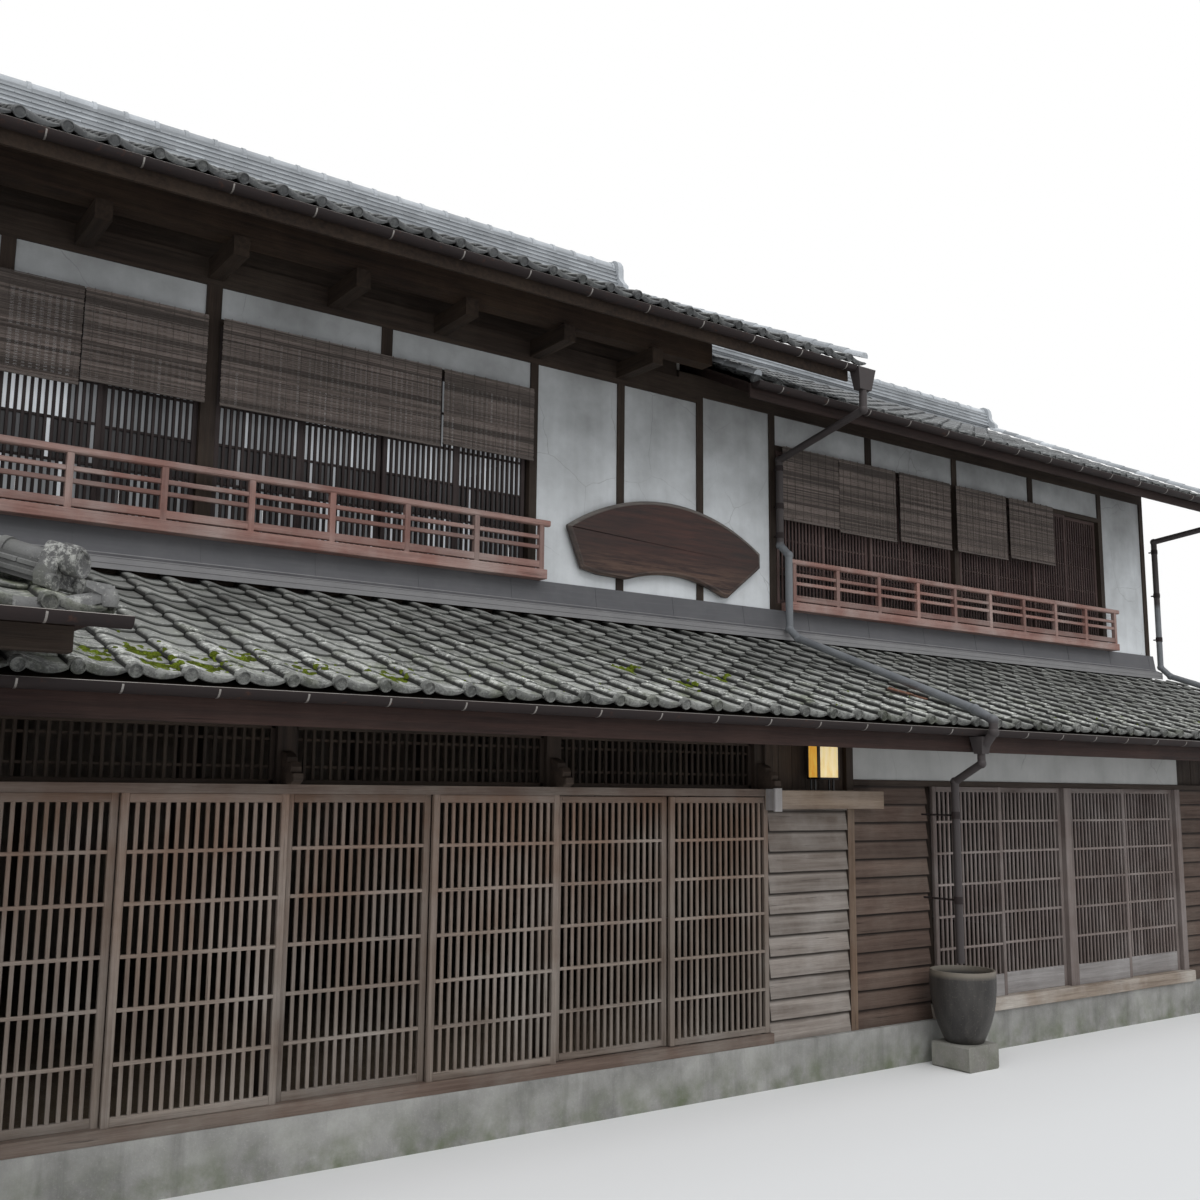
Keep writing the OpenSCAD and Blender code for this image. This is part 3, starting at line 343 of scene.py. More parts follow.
def wood(name, light, dark, worn, wear=0.4, axis=None, relief=1.0, top=None, top_z=None):
    """Weathered timber: growth streaks, fibres, cracks, tone by board and bleached patches."""
    t = Tree(name)
    grain = t.grain if axis is None else t.combine(*(t.separate(t.position)[i] for i in AXES[axis]))
    streak = t.noise((0.9, 26, 26), 5, 0.6, 0.3, 0.7, grain)
    fibre = t.noise((7, 240, 240), 4, 0.7, 0.3, 0.7, grain)
    crack = t.noise((1.6, 90, 90), 3, 0.6, 0.66, 0.72, grain)
    t.colour = t.mix(streak, dark, light)
    if top is not None:
        t.tint(top, t.span(t.height, *top_z), 0.8)
    t.tint(worn, t.noise(1.7, 5, 0.6, 0.42, 0.68), wear)
    t.shade(0.72, 1.28)
    # painted shade: darkens the wood by these values, which only the clapboards carry, under each lap
    t.tint((20, 17, 15), t.age, 0.95)
    t.tint(dark, t.sub(1.0, fibre), 0.45)
    t.tint((24, 19, 16), crack, 0.6)
    height = t.sub(t.add(t.mul(fibre, 0.4), streak), t.mul(crack, 0.8))
    t.finish(t.span(fibre, 0, 1, 0.85, 0.67), t.bump(height, 0.5 * relief, 0.004), 0.25)


def roof_tile(name, base, dark, lichen, amount, green=0.3, laid=True, spread=0.34):
    """Fired tile: tone by tile, smoky clouds, dark joints with painted shade in the crevices, and lichen and
    moss film that grow as the tile weathers.
    """
    t = Tree(name)
    t.colour = t.mix(t.noise(2.3, 6, 0.6, 0.3, 0.72), dark, base)
    t.shade(1 - spread, 1 + spread)
    region = t.noise(3.3, 4, 0.6, 0.35, 0.65)
    growth = t.sub(t.span(t.age, 0, 1, 0.66, 0.515), t.mul(region, 0.1))
    crust = t.new("Clamp", Value=t.mul(t.sub(t.noise(24, 7, 0.78), growth), 12)).outputs[0]
    joint_and_shade, share, _ = t.separate(t.grain)
    if laid:
        crust = t.mul(crust, t.span(share, 0.3, 0.9, 0.55, 1.1))
    t.tint(lichen, crust, amount)
    t.tint((88, 98, 46), t.mul(t.noise(4.1, 5, 0.65, 0.5, 0.68), t.age), green)
    t.tint((38, 38, 36), t.noise(90, 3, 0.7, 0.5, 0.8), t.span(t.age, 0, 1, 0.25, 0.6))
    if laid:
        # dark joints with painted shade where one tile laps over the next
        t.tint((15, 15, 14), t.span(joint_and_shade, 0.15, 0.9), 0.94)
    grit = t.add(t.noise(120, 3), t.mul(crust, 0.8))
    t.finish(t.span(t.age, 0, 1, 0.5, 0.9), t.bump(grit, 0.35, 0.004), 0.4)


def plaster(name, base, stain, amount, painted_eave_shade=None):
    """Lime plaster with rain runs, grey clouds, hair cracks, trowel marks and painted shade under the eaves.
    """
    t = Tree(name)
    run = t.noise((9, 9, 0.5), 6, 0.6, 0.45, 0.8)
    cloud = t.noise(1.3, 6, 0.62, 0.4, 0.75)
    speck = t.noise(30, 4, 0.7, 0.62, 0.8)
    t.colour = base
    t.tint(stain, t.add(t.add(t.mul(run, 0.25), t.mul(cloud, 0.75)), t.mul(speck, 0.35)), amount)
    warp = t.new("TexNoise", Vector=t.position, Scale=3.0, Detail=4.0).outputs["Color"]
    bent = t.mix(0.12, t.position, warp)
    cell = t.new("TexVoronoi", {"feature": "DISTANCE_TO_EDGE"}, Vector=bent, Scale=1.6)
    hair = t.span(cell.outputs["Distance"], 0.006, 0.0)
    t.tint(stain, t.mul(hair, t.noise(0.9, 2, 0.5, 0.5, 0.6)), 0.55)
    if painted_eave_shade is not None:
        # painted shade: the plaster darkens towards the eaves above it
        height = t.add(t.height, t.mul(t.noise(1.9, 5, 0.55, 0.3, 0.7), 0.9))
        t.tint((98, 97, 95), t.span(height, *painted_eave_shade, 0, 0.75))
    t.finish(0.9, t.bump(t.noise((7.5, 7.5, 12.5), 5, 0.5), 0.25, 0.006), 0.2)


def concrete(name, base, dark, algae=0.0):
    """Rough stone or concrete with damp edges, drips and a green foot."""
    t = Tree(name)
    cloud, grit = t.noise(2.1, 8, 0.65, 0.3, 0.7), t.noise(70, 5, 0.75)
    t.colour = t.mix(cloud, dark, base)
    t.tint((186, 184, 176), t.span(grit, 0.55, 0.75, 0, 0.5))
    t.tint((74, 74, 68), t.noise((7, 7, 0.9), 6, 0.65, 0.5, 0.72), 0.45 * algae)
    t.tint((92, 101, 72), t.mul(t.noise(5, 5, 0.6, 0.4, 0.7), t.span(t.height, 0.3, 0.02)), algae)
    t.finish(0.92, t.bump(t.add(grit, cloud), 0.5, 0.006), 0.2)


def metal(name, base, worn, roughness, metallic, rust, dark_ends=None):
    """Painted or dull sheet metal with worn paint, dust and a little rust."""
    t = Tree(name)
    cloud = t.noise(3.1, 6, 0.6, 0.42, 0.7)
    t.colour = base
    t.tint(worn, cloud, 0.5)
    t.tint(worn, t.noise((2, 40, 40), 4, 0.6, 0.5, 0.75), 0.25)
    if dark_ends is not None:
        t.tint(dark_ends, t.add(t.span(t.height, 4.72, 4.78), t.span(t.height, 2.9, 2.8)), 0.92)
    t.tint((96, 58, 38), t.noise(14, 5, 0.7, 0.6, 0.72), rust)
    rough = t.span(cloud, 0, 1, roughness, roughness + 0.25)
    t.finish(rough, t.bump(t.noise(18, 3), 0.12, 0.004), 0.25, metallic)


def moss():
    t = Tree("moss")
    tuft = t.noise(130, 4, 0.7, 0.3, 0.7)
    t.colour = t.mix(tuft, (62, 76, 22), (158, 178, 52))
    t.shade(0.6, 1.3)
    t.tint((84, 86, 44), t.noise(14, 3, 0.6, 0.35, 0.7), 0.6)
    t.finish(1.0, t.bump(tuft, 1.0, 0.012), 0.1)


def bamboo():
    """Sun-bleached reeds: every reed has its own tone, with dark joints along it."""
    t = Tree("bamboo_reed")
    streak = t.noise((3, 60, 160), 4, 0.6, 0.3, 0.7, t.grain)
    t.colour = t.mix(streak, (88, 79, 75), (132, 121, 115))
    t.shade(0.5, 1.42)
    t.tint((58, 50, 43), t.noise((14, 6, 6), 2, 0.5, 0.62, 0.7, t.grain), 0.5)
    t.tint((76, 71, 66), t.noise(1.6, 5, 0.6, 0.4, 0.7), 0.35)
    t.finish(0.7, t.bump(streak, 0.3, 0.002), 0.3)


def screen_painted_light():
    """Paper and old curtains behind the upper bars, each sash with its own tone, which sets painted light:
    the brighter a pane is painted, the more it glows, though it is no lamp.
    """
    t = Tree("screen_painted_light")
    fold = t.noise((9, 1, 0.6), 4, 0.55, 0.3, 0.7)
    bright = t.span(t.tone, 0, 1)
    t.colour = t.mix(bright, (30, 27, 29), (214, 218, 222))
    t.tint((84, 82, 80), fold, 0.35)
    # painted light: the panes glow as bright as they are painted
    t.glow(t.mul(bright, 0.4))
    t.finish(0.6, t.bump(fold, 0.3, 0.01), 0.4)


def lantern_paper(name, weak, strong, glow):
    """Glowing lantern pane with paper fibres."""
    t = Tree(name)
    t.colour = t.mix(t.noise((30, 30, 9), 5, 0.6, 0.3, 0.7), weak, strong)
    t.glow(glow)
    t.finish(0.7, None, 0.2)


def sign_wood():
    """The fan board's wood: dark middle, bleached worn foot; age turns it into its grey edge."""
    t = Tree("sign_wood")
    swirl = t.noise((1.4, 30, 22), 7, 0.7, 0.36, 0.64)
    fibre = t.noise((9, 200, 160), 4, 0.7, 0.3, 0.7)
    low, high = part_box("fan_board")
    middle = (low.x + high.x) / 2
    off_middle = t.math("ABSOLUTE", t.sub(t.separate(t.position)[0], middle))
    foot = t.span(t.height, low.z + 0.36, low.z + 0.06)
    t.colour = t.mix(swirl, (18, 11, 11), (74, 42, 34))
    t.tint((54, 29, 23), t.noise(2.4, 6, 0.6, 0.35, 0.7), 0.6)
    t.tint((116, 92, 76), t.mul(foot, t.span(swirl, 0.3, 0.8)), 0.8)
    t.tint((44, 32, 27), t.span(off_middle, 0.5, 1.15), 0.5)
    t.tint((36, 25, 20), t.sub(1.0, fibre), 0.3)
    t.tint(t.mix(swirl, (92, 88, 84), (134, 130, 124)), t.age, 0.85)
    t.finish(0.55, t.bump(t.add(t.mul(fibre, 0.4), swirl), 0.5, 0.005), 0.4)


def glazed_clay():
    t = Tree("glazed_clay")
    grit = t.noise(60, 5, 0.7)
    top = hi("rain_jar").z
    t.colour = t.mix(t.noise((6, 6, 1.2), 6, 0.6, 0.35, 0.7), (36, 34, 33), (72, 69, 66))
    t.tint((128, 120, 108), t.span(t.height, top - 0.06, top - 0.02), 0.7)
    t.tint((120, 112, 100), t.span(grit, 0.58, 0.75, 0, 0.5))
    t.finish(0.55, t.bump(grit, 0.4, 0.004), 0.45)


def plain_black():
    t = Tree("lantern_frame")
    t.colour = t.mix(t.noise(40, 4, 0.6, 0.5, 0.7), (26, 24, 23), (52, 48, 45))
    t.finish(0.5, None, 0.4)


# Each kind of material with its rows: light, dark and worn colours first
LOOKS = {
    wood: (
        ("lattice_wood", (136, 124, 114), (88, 77, 69), (156, 151, 145), 0.5, None, 1,
         (124, 94, 76), (0.9, 2.3)),
        ("window_lattice_wood", (134, 122, 117), (84, 73, 69), (154, 147, 144), 0.5),
        ("upper_sash_wood", (60, 51, 50), (36, 30, 30), (84, 74, 72), 0.35),
        ("brown_sash_wood", (94, 76, 72), (54, 42, 41), (112, 96, 92)),
        ("kick_boards", (156, 152, 150), (112, 107, 105), (174, 171, 170), 0.5),
        ("dark_timber_x", (66, 54, 46), (34, 27, 23), (88, 78, 68), 0.35, "x"),
        ("dark_timber_y", (62, 49, 40), (32, 25, 21), (84, 70, 58), 0.35, "y"),
        ("dark_timber_z", (64, 52, 44), (34, 27, 23), (86, 76, 66), 0.35, "z"),
        ("dark_timber", (62, 50, 42), (33, 26, 22), (84, 73, 63), 0.35),
        ("eave_timber", (66, 50, 40), (32, 25, 21), (88, 70, 54), 0.4, "x"),
        ("lintel_wood", (122, 106, 96), (80, 64, 56), (144, 138, 130), 0.5, "x"),
        ("sill_wood", (148, 130, 112), (98, 81, 68), (164, 154, 143), 0.5),
        ("window_sill_wood", (172, 160, 147), (112, 98, 86), (202, 198, 192), 0.6),
        ("grey_boards", (160, 151, 143), (104, 94, 87), (174, 169, 163), 0.6, None, 1.6,
         (100, 86, 76), (1.5, 2.2)),
        ("brown_boards", (106, 88, 78), (68, 53, 46), (128, 118, 108), 0.4, None, 1.5),
        ("mid_post_wood", (118, 98, 82), (76, 60, 49), (138, 125, 112), 0.5),
        ("red_timber", (166, 128, 118), (118, 86, 79), (180, 168, 162), 0.65),
        ("fascia_wood", (62, 43, 38), (34, 24, 22), (80, 61, 54), 0.4, "x"),
        ("right_fascia_wood", (52, 38, 35), (31, 22, 20), (66, 52, 47), 0.35, "x"),
        ("back_boards", (124, 112, 102), (80, 70, 62), (142, 136, 128), 0.5, "z")),
    roof_tile: (
        ("lower_roof_tile", (158, 159, 155), (106, 107, 104), (216, 217, 211), 0.9, 0.45),
        ("main_roof_tile", (138, 140, 141), (96, 97, 98), (196, 198, 196), 0.65, 0.15, True, 0.2),
        ("ridge_tile", (192, 196, 200), (158, 162, 166), (210, 212, 211), 0.3, 0.05, False),
        ("porch_roof_tile", (140, 141, 136), (88, 89, 86), (204, 204, 194), 0.85, 0.6),
        ("porch_ridge_tile", (120, 120, 119), (66, 65, 65), (192, 192, 186), 0.6, 0.2, False),
        ("odd_red_tile", (142, 96, 74), (110, 72, 56), (172, 160, 146), 0.5, 0.2)),
    plaster: (
        # the last pair: heights over which painted shade darkens the plaster towards the eaves
        ("white_plaster", (226, 229, 231), (140, 141, 140), 0.5, (4.9, 7.0)),
        # painted shade: the band under the lower roof is the white plaster made greyer
        ("band_plaster", (182, 182, 180), (120, 119, 117), 0.6),
        ("gable_plaster", (206, 204, 198), (140, 136, 128), 0.6)),
    concrete: (
        ("footing_stone", (170, 169, 165), (118, 117, 114), 0.8),
        ("pier_stone", (146, 144, 138), (100, 98, 93), 0.5),
        ("packed_earth", (112, 98, 82), (82, 70, 58))),
    metal: (
        ("gutter_paint", (36, 29, 29), (54, 46, 45), 0.65, 0, 0.35),
        ("pipe_paint", (112, 115, 119), (138, 141, 143), 0.5, 0.1, 0.1, (60, 53, 52)),
        ("zinc_sheet", (92, 92, 95), (118, 117, 119), 0.55, 0.1, 0.05),
        ("zinc_edge", (128, 127, 128), (150, 149, 149), 0.5, 0.1, 0.05),
        ("rim_metal", (150, 146, 142), (116, 108, 102), 0.35, 0.6, 0.1)),
    lantern_paper: (
        ("lantern_front", (238, 206, 136), (250, 232, 186), 0.42),
        ("lantern_side", (226, 160, 56), (244, 196, 92), 0.5)),
}
for make, rows in LOOKS.items():
    for row in rows:
        make(*row)
for make in (moss, bamboo, screen_painted_light, sign_wood, glazed_clay, plain_black):
    make()


# Roof tiles
TILE_U = np.array([-0.01, 0.0, 0.03, 0.08, 0.15, 0.23, 0.31, 0.4, 0.5, 0.62, 0.75, 0.88, 1.0])
TILE_W = np.array([40, 56, 68, 73, 74, 71, 65, 57, 48, 40, 36, 35, 38]) / 1000
# how dark each point across a tile is: dark joints with painted shade under its lapping edges
JOINT_AND_SHADE = np.array([1.0, 0.9, 0.4, 0.05, 0, 0, 0, 0, 0, 0, 0, 0.05, 0.4])
TILE_T = 0.024
PENT_LIFT, SPRUNG_ROWS = 0.028, 6
TILE_E = 0.255
TILE_PITCH = 0.2875


def tile_points(pitch, length, exposed):
    """Rings of one roof tile in slope coordinates: across, up the slope, above the boards."""
    # each ring's last number paints shade: dark under the tile's front edge and where the next course covers
    # it
    rings = [(length, TILE_T, 1.0), (exposed - 0.006, TILE_T * 0.9, 0.3),
             (exposed - 0.05, TILE_T * 0.75, 0.0), (0.012, 0.0, 0.0), (0.0, 0.004, 0.0), (0.001, 0.015, 0.35),
             (0.016, TILE_T + 0.004, 1.0)]
    points = [[(u * pitch, v, w - sink) for u, w in zip(TILE_U, TILE_W)] for v, sink, gap in rings]
    share = (TILE_W - TILE_W.min()) / (TILE_W.max() - TILE_W.min())
    grain = [[(max(gap, j), h, 0) for h, j in zip(share, JOINT_AND_SHADE)] for v, sink, gap in rings]
    points, grain = (np.array(a).reshape(-1, 3) for a in (points, grain))
    return points, grain, [f[::-1] for f in ring_faces(len(rings), len(TILE_U), closed=False)]


def eave_skirt(pitch):
    """The eave tile's hanging front: a thick lip that follows the wave, bowl-shaped under the pan."""
    foot = 0.02 - 0.030 * np.sin(np.pi * np.clip((TILE_U - 0.28) / 0.72, 0, 1)) ** 0.7
    steps = ((0.010, 0.0, 0.0), (-0.004, 0.0, 0.004), (-0.014, 0.3, 0), (-0.013, 0.85, 0), (-0.002, 1.0, 0),
             (0.016, 0.98, 0), (0.02, 0.2, 0))
    rings = [np.stack([TILE_U * pitch, np.full(len(TILE_U), v),
                       TILE_W - push + (foot - TILE_W + push) * share], 1) for v, share, push in steps]
    # the hanging front carries painted shade
    return hanging(rings, 0.52, [f[::-1] for f in ring_faces(len(rings), len(TILE_U), closed=False)])


def hanging(rings, shade, faces):
    """Points, painted shade and faces of a part that each eave tile carries."""
    points = np.concatenate(rings)
    return points, np.tile([shade, 0, 0], (len(points), 1)), faces


def round_cap(centre_u, centre_w, radius):
    """The round end disc under a tile roll, with a raised rim."""
    turn = turns(18)
    steps = ((1.0, 0.02), (1.0, -0.02), (0.93, -0.027), (0.8, -0.027), (0.74, -0.02), (0.0, -0.022))
    rings = [np.stack([centre_u + radius * share * np.cos(turn), np.full(18, v),
                       centre_w + radius * share * np.sin(turn)], 1) for share, v in steps]
    # the end disc carries painted shade
    return hanging(rings, 0.5, ring_faces(len(rings), 18))


class Slope:
    """A tiled slope: its eave runs level from a corner, and it rises to the left of that direction."""

    def __init__(self, corner, across, width, rise, run):
        self.corner = np.array(corner, dtype=float)
        self.across = np.array([across[0], across[1], 0.0])
        self.inward = np.array([-across[1], across[0], 0.0])
        angle = math.atan(rise)
        self.cos, self.sin = math.cos(angle), math.sin(angle)
        self.width, self.length = width, run / self.cos

    def place(self, points):
        level = points[:, 1] * self.cos - points[:, 2] * self.sin
        height = points[:, 1] * self.sin + points[:, 2] * self.cos
        out = self.corner + np.outer(points[:, 0], self.across) + np.outer(level, self.inward)
        out[:, 2] += height
        return out

    def at(self, u, v, w):
        return self.place(np.array([[u, v, w]]))[0]


def sprung(row, lift):
    """How far a course is raised where the roof flattens out to its eave."""
    return 0.008 + lift * max(0.0, 1 - row / SPRUNG_ROWS) ** 2


def lay_tiles(shape, slope, aged=1.0, odd=None, lift=0.0):
    """Covers a slope with courses of tiles, each a little out of line; odd takes a few tiles apart."""
    cols = round(slope.width / TILE_PITCH)
    pitch = slope.width / cols
    courses = math.ceil(slope.length / TILE_E)
    step = slope.length / courses
    tile = tile_points(pitch, step + 0.03, step)
    front = (eave_skirt(pitch), round_cap(0.16 * pitch, 0.038, 0.041))
    for row in range(courses):
        age = aged * max(0.0, 1 - row * step / 1.6) + 0.12
        for col in range(cols):
            tone = rng.gauss(0, 0.45) + (1.2 if rng.random() < 0.012 else 0)
            shift = np.array([col * pitch + rng.gauss(0, 0.002), row * step + rng.gauss(0, 0.005),
                              rng.gauss(0, 0.002) + sprung(row, lift)])
            turn = rng.gauss(0, 0.007)
            weather = min(1.0, max(0.0, age + rng.gauss(0, 0.12)))
            target = shape if odd is None or (row, col) not in odd[1] else odd[0]
            for points, grain, faces in (tile,) + (front if row == 0 else ()):
                moved = points + shift
                moved[:, 1] += (points[:, 0] - pitch / 2) * turn
                target.add(slope.place(moved), faces, tone, grain, weather)


def verge_rolls(shape, slope, aged=0.4):
    """Round tiles that close a roof's two edges, one for each course."""
    courses = math.ceil(slope.length / TILE_E)
    step = slope.length / courses
    for u in (0.054, slope.width - 0.054):
        for row in range(courses):
            start, end = slope.at(u, row * step - 0.012, 0.088), slope.at(u, (row + 1) * step + 0.01, 0.078)
            beam(shape, arc((0, 0), 0.052, 0, 180, 9), start, end, rng.gauss(0, 0.4), aged)


def pent_surface(x, y):
    """Height of the lower roof's tiles at a place."""
    u = ((x - LEFT_X) / (RIGHT_X - LEFT_X) * round((RIGHT_X - LEFT_X) / TILE_PITCH)) % 1
    raised = sprung((y - PENT_EAVE_Y) / TILE_E, PENT_LIFT)
    deck = PENT_EAVE_Z + PENT_SLOPE * (y - PENT_EAVE_Y)
    return deck + np.interp(u, TILE_U, TILE_W) * 1.07 - 0.012 + raised


def sides_of(low, high):
    """Planes that cut a roof off at its two ends."""
    return [((low, 0, 0), (-1, 0, 0)), ((high, 0, 0), (1, 0, 0))]


def pent_roof():
    shape, red, edge = Shape(), Shape(), Shape()
    slope = Slope((LEFT_X, PENT_EAVE_Y, PENT_EAVE_Z), (1, 0), RIGHT_X - LEFT_X, PENT_SLOPE,
                  UPPER_Y - 0.04 - PENT_EAVE_Y)
    red_tile = (3, int((0.93 - LEFT_X) / TILE_PITCH))
    lay_tiles(shape, slope, odd=(red, {red_tile}), lift=PENT_LIFT)
    shape.make("lower_roof_tiles", "lower_roof_tile", "roof_tile", "pent_tiles", smooth=50,
               cuts=sides_of(LEFT_X, RIGHT_X))
    red.make("odd_red_tile", "odd_red_tile", "roof_tile", smooth=50)
    verge_rolls(edge, slope, 0.8)
    edge.make("lower_roof_verges", "porch_ridge_tile", "roof_tile", smooth=40)


def main_roof(node, name):
    low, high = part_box(node)
    eave = lo(node.replace("tiles", "deck")).y + FASCIA_OUT
    edge = Shape()
    for side, x, y, along in (("front", low.x, eave, 1), ("back", high.x, 2 * RIDGE_Y - eave, -1)):
        shape = Shape()
        slope = Slope((x, y, low.z), (along, 0), high.x - low.x, MAIN_SLOPE, RIDGE_Y - eave - RIDGE_GAP)
        lay_tiles(shape, slope, 0.55)
        stood_for = [node] if side == "front" else []
        shape.make(f"{name}_tiles_{side}", "main_roof_tile", "roof_tile", *stood_for, smooth=50,
                   cuts=sides_of(low.x, high.x))
        verge_rolls(edge, slope)
    edge.make(f"{name}_verges", "ridge_tile", "roof_tile", smooth=40)


# Moss on the lower roof: place, and size of the patch
MOSS = ((-6.04, -0.21, 0.17), (-6.04, -0.48, 0.13), (-5.99, -0.56, 0.10), (-5.50, -0.11, 0.09),
        (-5.71, -0.45, 0.12), (-5.21, -0.34, 0.07), (-4.64, -0.38, 0.15), (-2.48, 0.30, 0.09),
        (-2.10, -0.04, 0.12), (-1.56, 0.26, 0.10), (-6.30, -0.30, 0.15), (-5.86, -0.30, 0.08))


def cushion(shape, x, y, size):
    """One tuft of moss with a ragged edge."""
    z = pent_surface(x, y)
    height = size * rng.uniform(0.35, 0.7)
    rings = []
    for share, rise in ((1.0, -0.012), (0.9, 0.45 * height), (0.5, 0.9 * height), (0.02, height)):
        reach = [(size * share * rng.uniform(0.78, 1.15), turn) for turn in turns(9)]
        out = [(r * math.cos(turn), r * math.sin(turn)) for r, turn in reach]
        rings.append([(x + dx, y + dy, z + rise + PENT_SLOPE * dy) for dx, dy in out])
    loft(shape, rings, rng.gauss(0, 0.6))


def moss_cushions():
    shape = Shape()
    pitch = (RIGHT_X - LEFT_X) / round((RIGHT_X - LEFT_X) / TILE_PITCH)
    for x, y, size in MOSS:
        pan = LEFT_X + (round((x - LEFT_X) / pitch) + 0.72) * pitch
        for _ in range(round(size * 460)):
            cx, cy = pan + rng.gauss(0, 0.055), y + rng.gauss(0, size * 0.45)
            cushion(shape, cx, max(cy, PENT_EAVE_Y + 0.02), rng.uniform(0.008, 0.028))
    for _ in range(260):
        x, y = rng.uniform(LEFT_X + 0.05, RIGHT_X - 3), PENT_EAVE_Y + 0.04 + abs(rng.gauss(0, 0.3))
        cushion(shape, x, y, rng.uniform(0.004, 0.013))
    shape.make("moss_cushions", "moss", "roof_tile", smooth=60)


# Ridges
CAP_SPAN = 0.3


def ridge_courses(shape, start, end, courses, course_h, half, cap_r):
    """Courses of flat ridge tiles and a round cap with collars, along a line from low to high."""
    start, end = Vector(start), Vector(end)
    length = (end - start).length
    count = max(1, round(length / CAP_SPAN))
    for course in range(courses):
        reach, z, shift = half - 0.012 * course, course * course_h, 0.5 * (course % 2)
        core = reach - 0.02
        bed = [(-core, z - 0.02), (core, z - 0.02), (core, z + course_h), (-core, z + course_h)]
        beam(shape, bed, start, end, -1.4, 0.1)
        for i in range(count + 1):
            first, last = max(0.0, i - shift) / count, min(1.0, (i + 1 - shift) / count)
            if last - first < 0.01:
                continue
            a, b = start.lerp(end, first), start.lerp(end, last - 0.004 / length)
            for side in (-1, 1):
                outline = [(0, z + 0.008), (side * reach, z + 0.002), (side * (reach + 0.002), z + 0.020),
                           (side * (reach - 0.006), z + 0.024), (0, z + 0.034)]
                beam(shape, outline[::side], a, b, rng.gauss(0, 0.4), 0.3)
    for i in range(count):
        a, b = start.lerp(end, i / count), start.lerp(end, (i + 1) / count)
        tone = rng.gauss(0, 0.4)
        for wider, near, far in ((0, 0, 1), (0.009, 0.86, 0.985)):
            cap = arc((0, courses * course_h), cap_r + wider, -8, 188, 13)
            beam(shape, cap, a.lerp(b, near), a.lerp(b, far), tone, 0.3)


def end_plate(shape, x0, x1, z, top):
    """Shouldered end tile of a main ridge with a raised edge, and its round bosses."""
    crown = top - z
    right = [(0.27, 0.001 - MAIN_SLOPE * 0.27), (0.27, -0.04), (0.2, 0.03), (0.165, 0.09),
             (0.165, crown - 0.03), (0.15, crown + 0.04), (0.115, crown + 0.085), (0.06, crown + 0.112)]
    outline = [(0.0, 0.001)] + right + [(-y, up) for y, up in right[::-1]]
    steps = ((x0, 0), (x1 - 0.02, 0), (x1, 0.012), (x1, 0.034), (x1 - 0.014, 0.042))
    loft(shape, stack(outline, steps, lambda x, y, up: (x, RIDGE_Y + y, z + up)), 0.2, 0.3)
    profile = [(0.001, x0 - 0.06), (0.058, x0 - 0.06), (0.058, x1 + 0.072), (0.053, x1 + 0.08),
               (0.043, x1 + 0.08), (0.038, x1 + 0.07), (0.001, x1 + 0.068)]
    revolve(shape, profile, (0, RIDGE_Y, z + 0.07), "x", 20, 0.3, 0.3)
    for y, up, r, out in ((0, top - 0.01, 0.05, 0.014), (-0.1, z + 0.02, 0.045, 0.012),
                          (0.1, z + 0.02, 0.045, 0.012)):
        dome = [(0.001, x1 - 0.01), (r, x1 - 0.01), (0.8 * r, x1 + out), (0.001, x1 + out + 0.004)]
        revolve(shape, dome, (0, RIDGE_Y + y, up), "x", 16, 0.3, 0.3)


def main_ridge(node, name, courses):
    shape = Shape()
    low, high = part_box(node)
    top = high.z - 0.122
    base = top - courses * 0.055
    x1 = high.x - 0.08
    x0 = x1 - 0.09
    ridge_courses(shape, (low.x, RIDGE_Y, base), (x0, RIDGE_Y, base), courses, 0.055, 0.165, 0.09)
    bed = [(-0.15, -0.09), (0.15, -0.09), (0.12, 0.01), (-0.12, 0.01)]
    beam(shape, bed, (low.x + 0.002, RIDGE_Y, base), (x0, RIDGE_Y, base), -0.8, 0.2)
    end_plate(shape, x0, x1, base + 0.045, top)
    shape.make(name, "ridge_tile", "roof_tile", node, smooth=40)


# Porch
PORCH_RISE = 0.4


def porch():
    """The porch roof's peak, half width and eave height, and its two front corners by side."""
    low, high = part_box("porch_roof")
    half = (high.x - low.x) / 2
    peak = Vector(((low.x + high.x) / 2, low.y + half, high.z))
    corners = {side: Vector((x, low.y, high.z - PORCH_RISE * half))
               for side, x in (("right", high.x), ("left", low.x))}
    return low, high, half, peak, corners


def porch_tiles():
    """Three tiled slopes, cut off along the hips and along the lower roof."""
    low, high, half, _, corners = porch()
    eave = high.z - PORCH_RISE * half - 0.078
    depth = high.y - low.y
    hips = {side: ((corner.x, low.y, 0), Vector((1 if side == "right" else -1, 1, 0)))
            for side, corner in corners.items()}
    roof_plane = ((0, PENT_EAVE_Y, PENT_EAVE_Z + 0.05), Vector((0, PENT_SLOPE, -1)))
    for side, x, y, across, width in (("front", low.x, low.y, (1, 0), high.x - low.x),
                                      ("right", high.x, low.y, (0, 1), depth),
                                      ("left", low.x, high.y, (0, -1), depth)):
        shape, stood_for, cuts = Shape(), ["porch_roof"], list(hips.values())
        if side != "front":
            stood_for, cuts = [], [(hips[side][0], -hips[side][1]), roof_plane]
        lay_tiles(shape, Slope((x, y, eave), across, width, PORCH_RISE, half))
        shape.make("porch_tiles_" + side, "porch_roof_tile", "roof_tile", *stood_for, smooth=50, cuts=cuts)


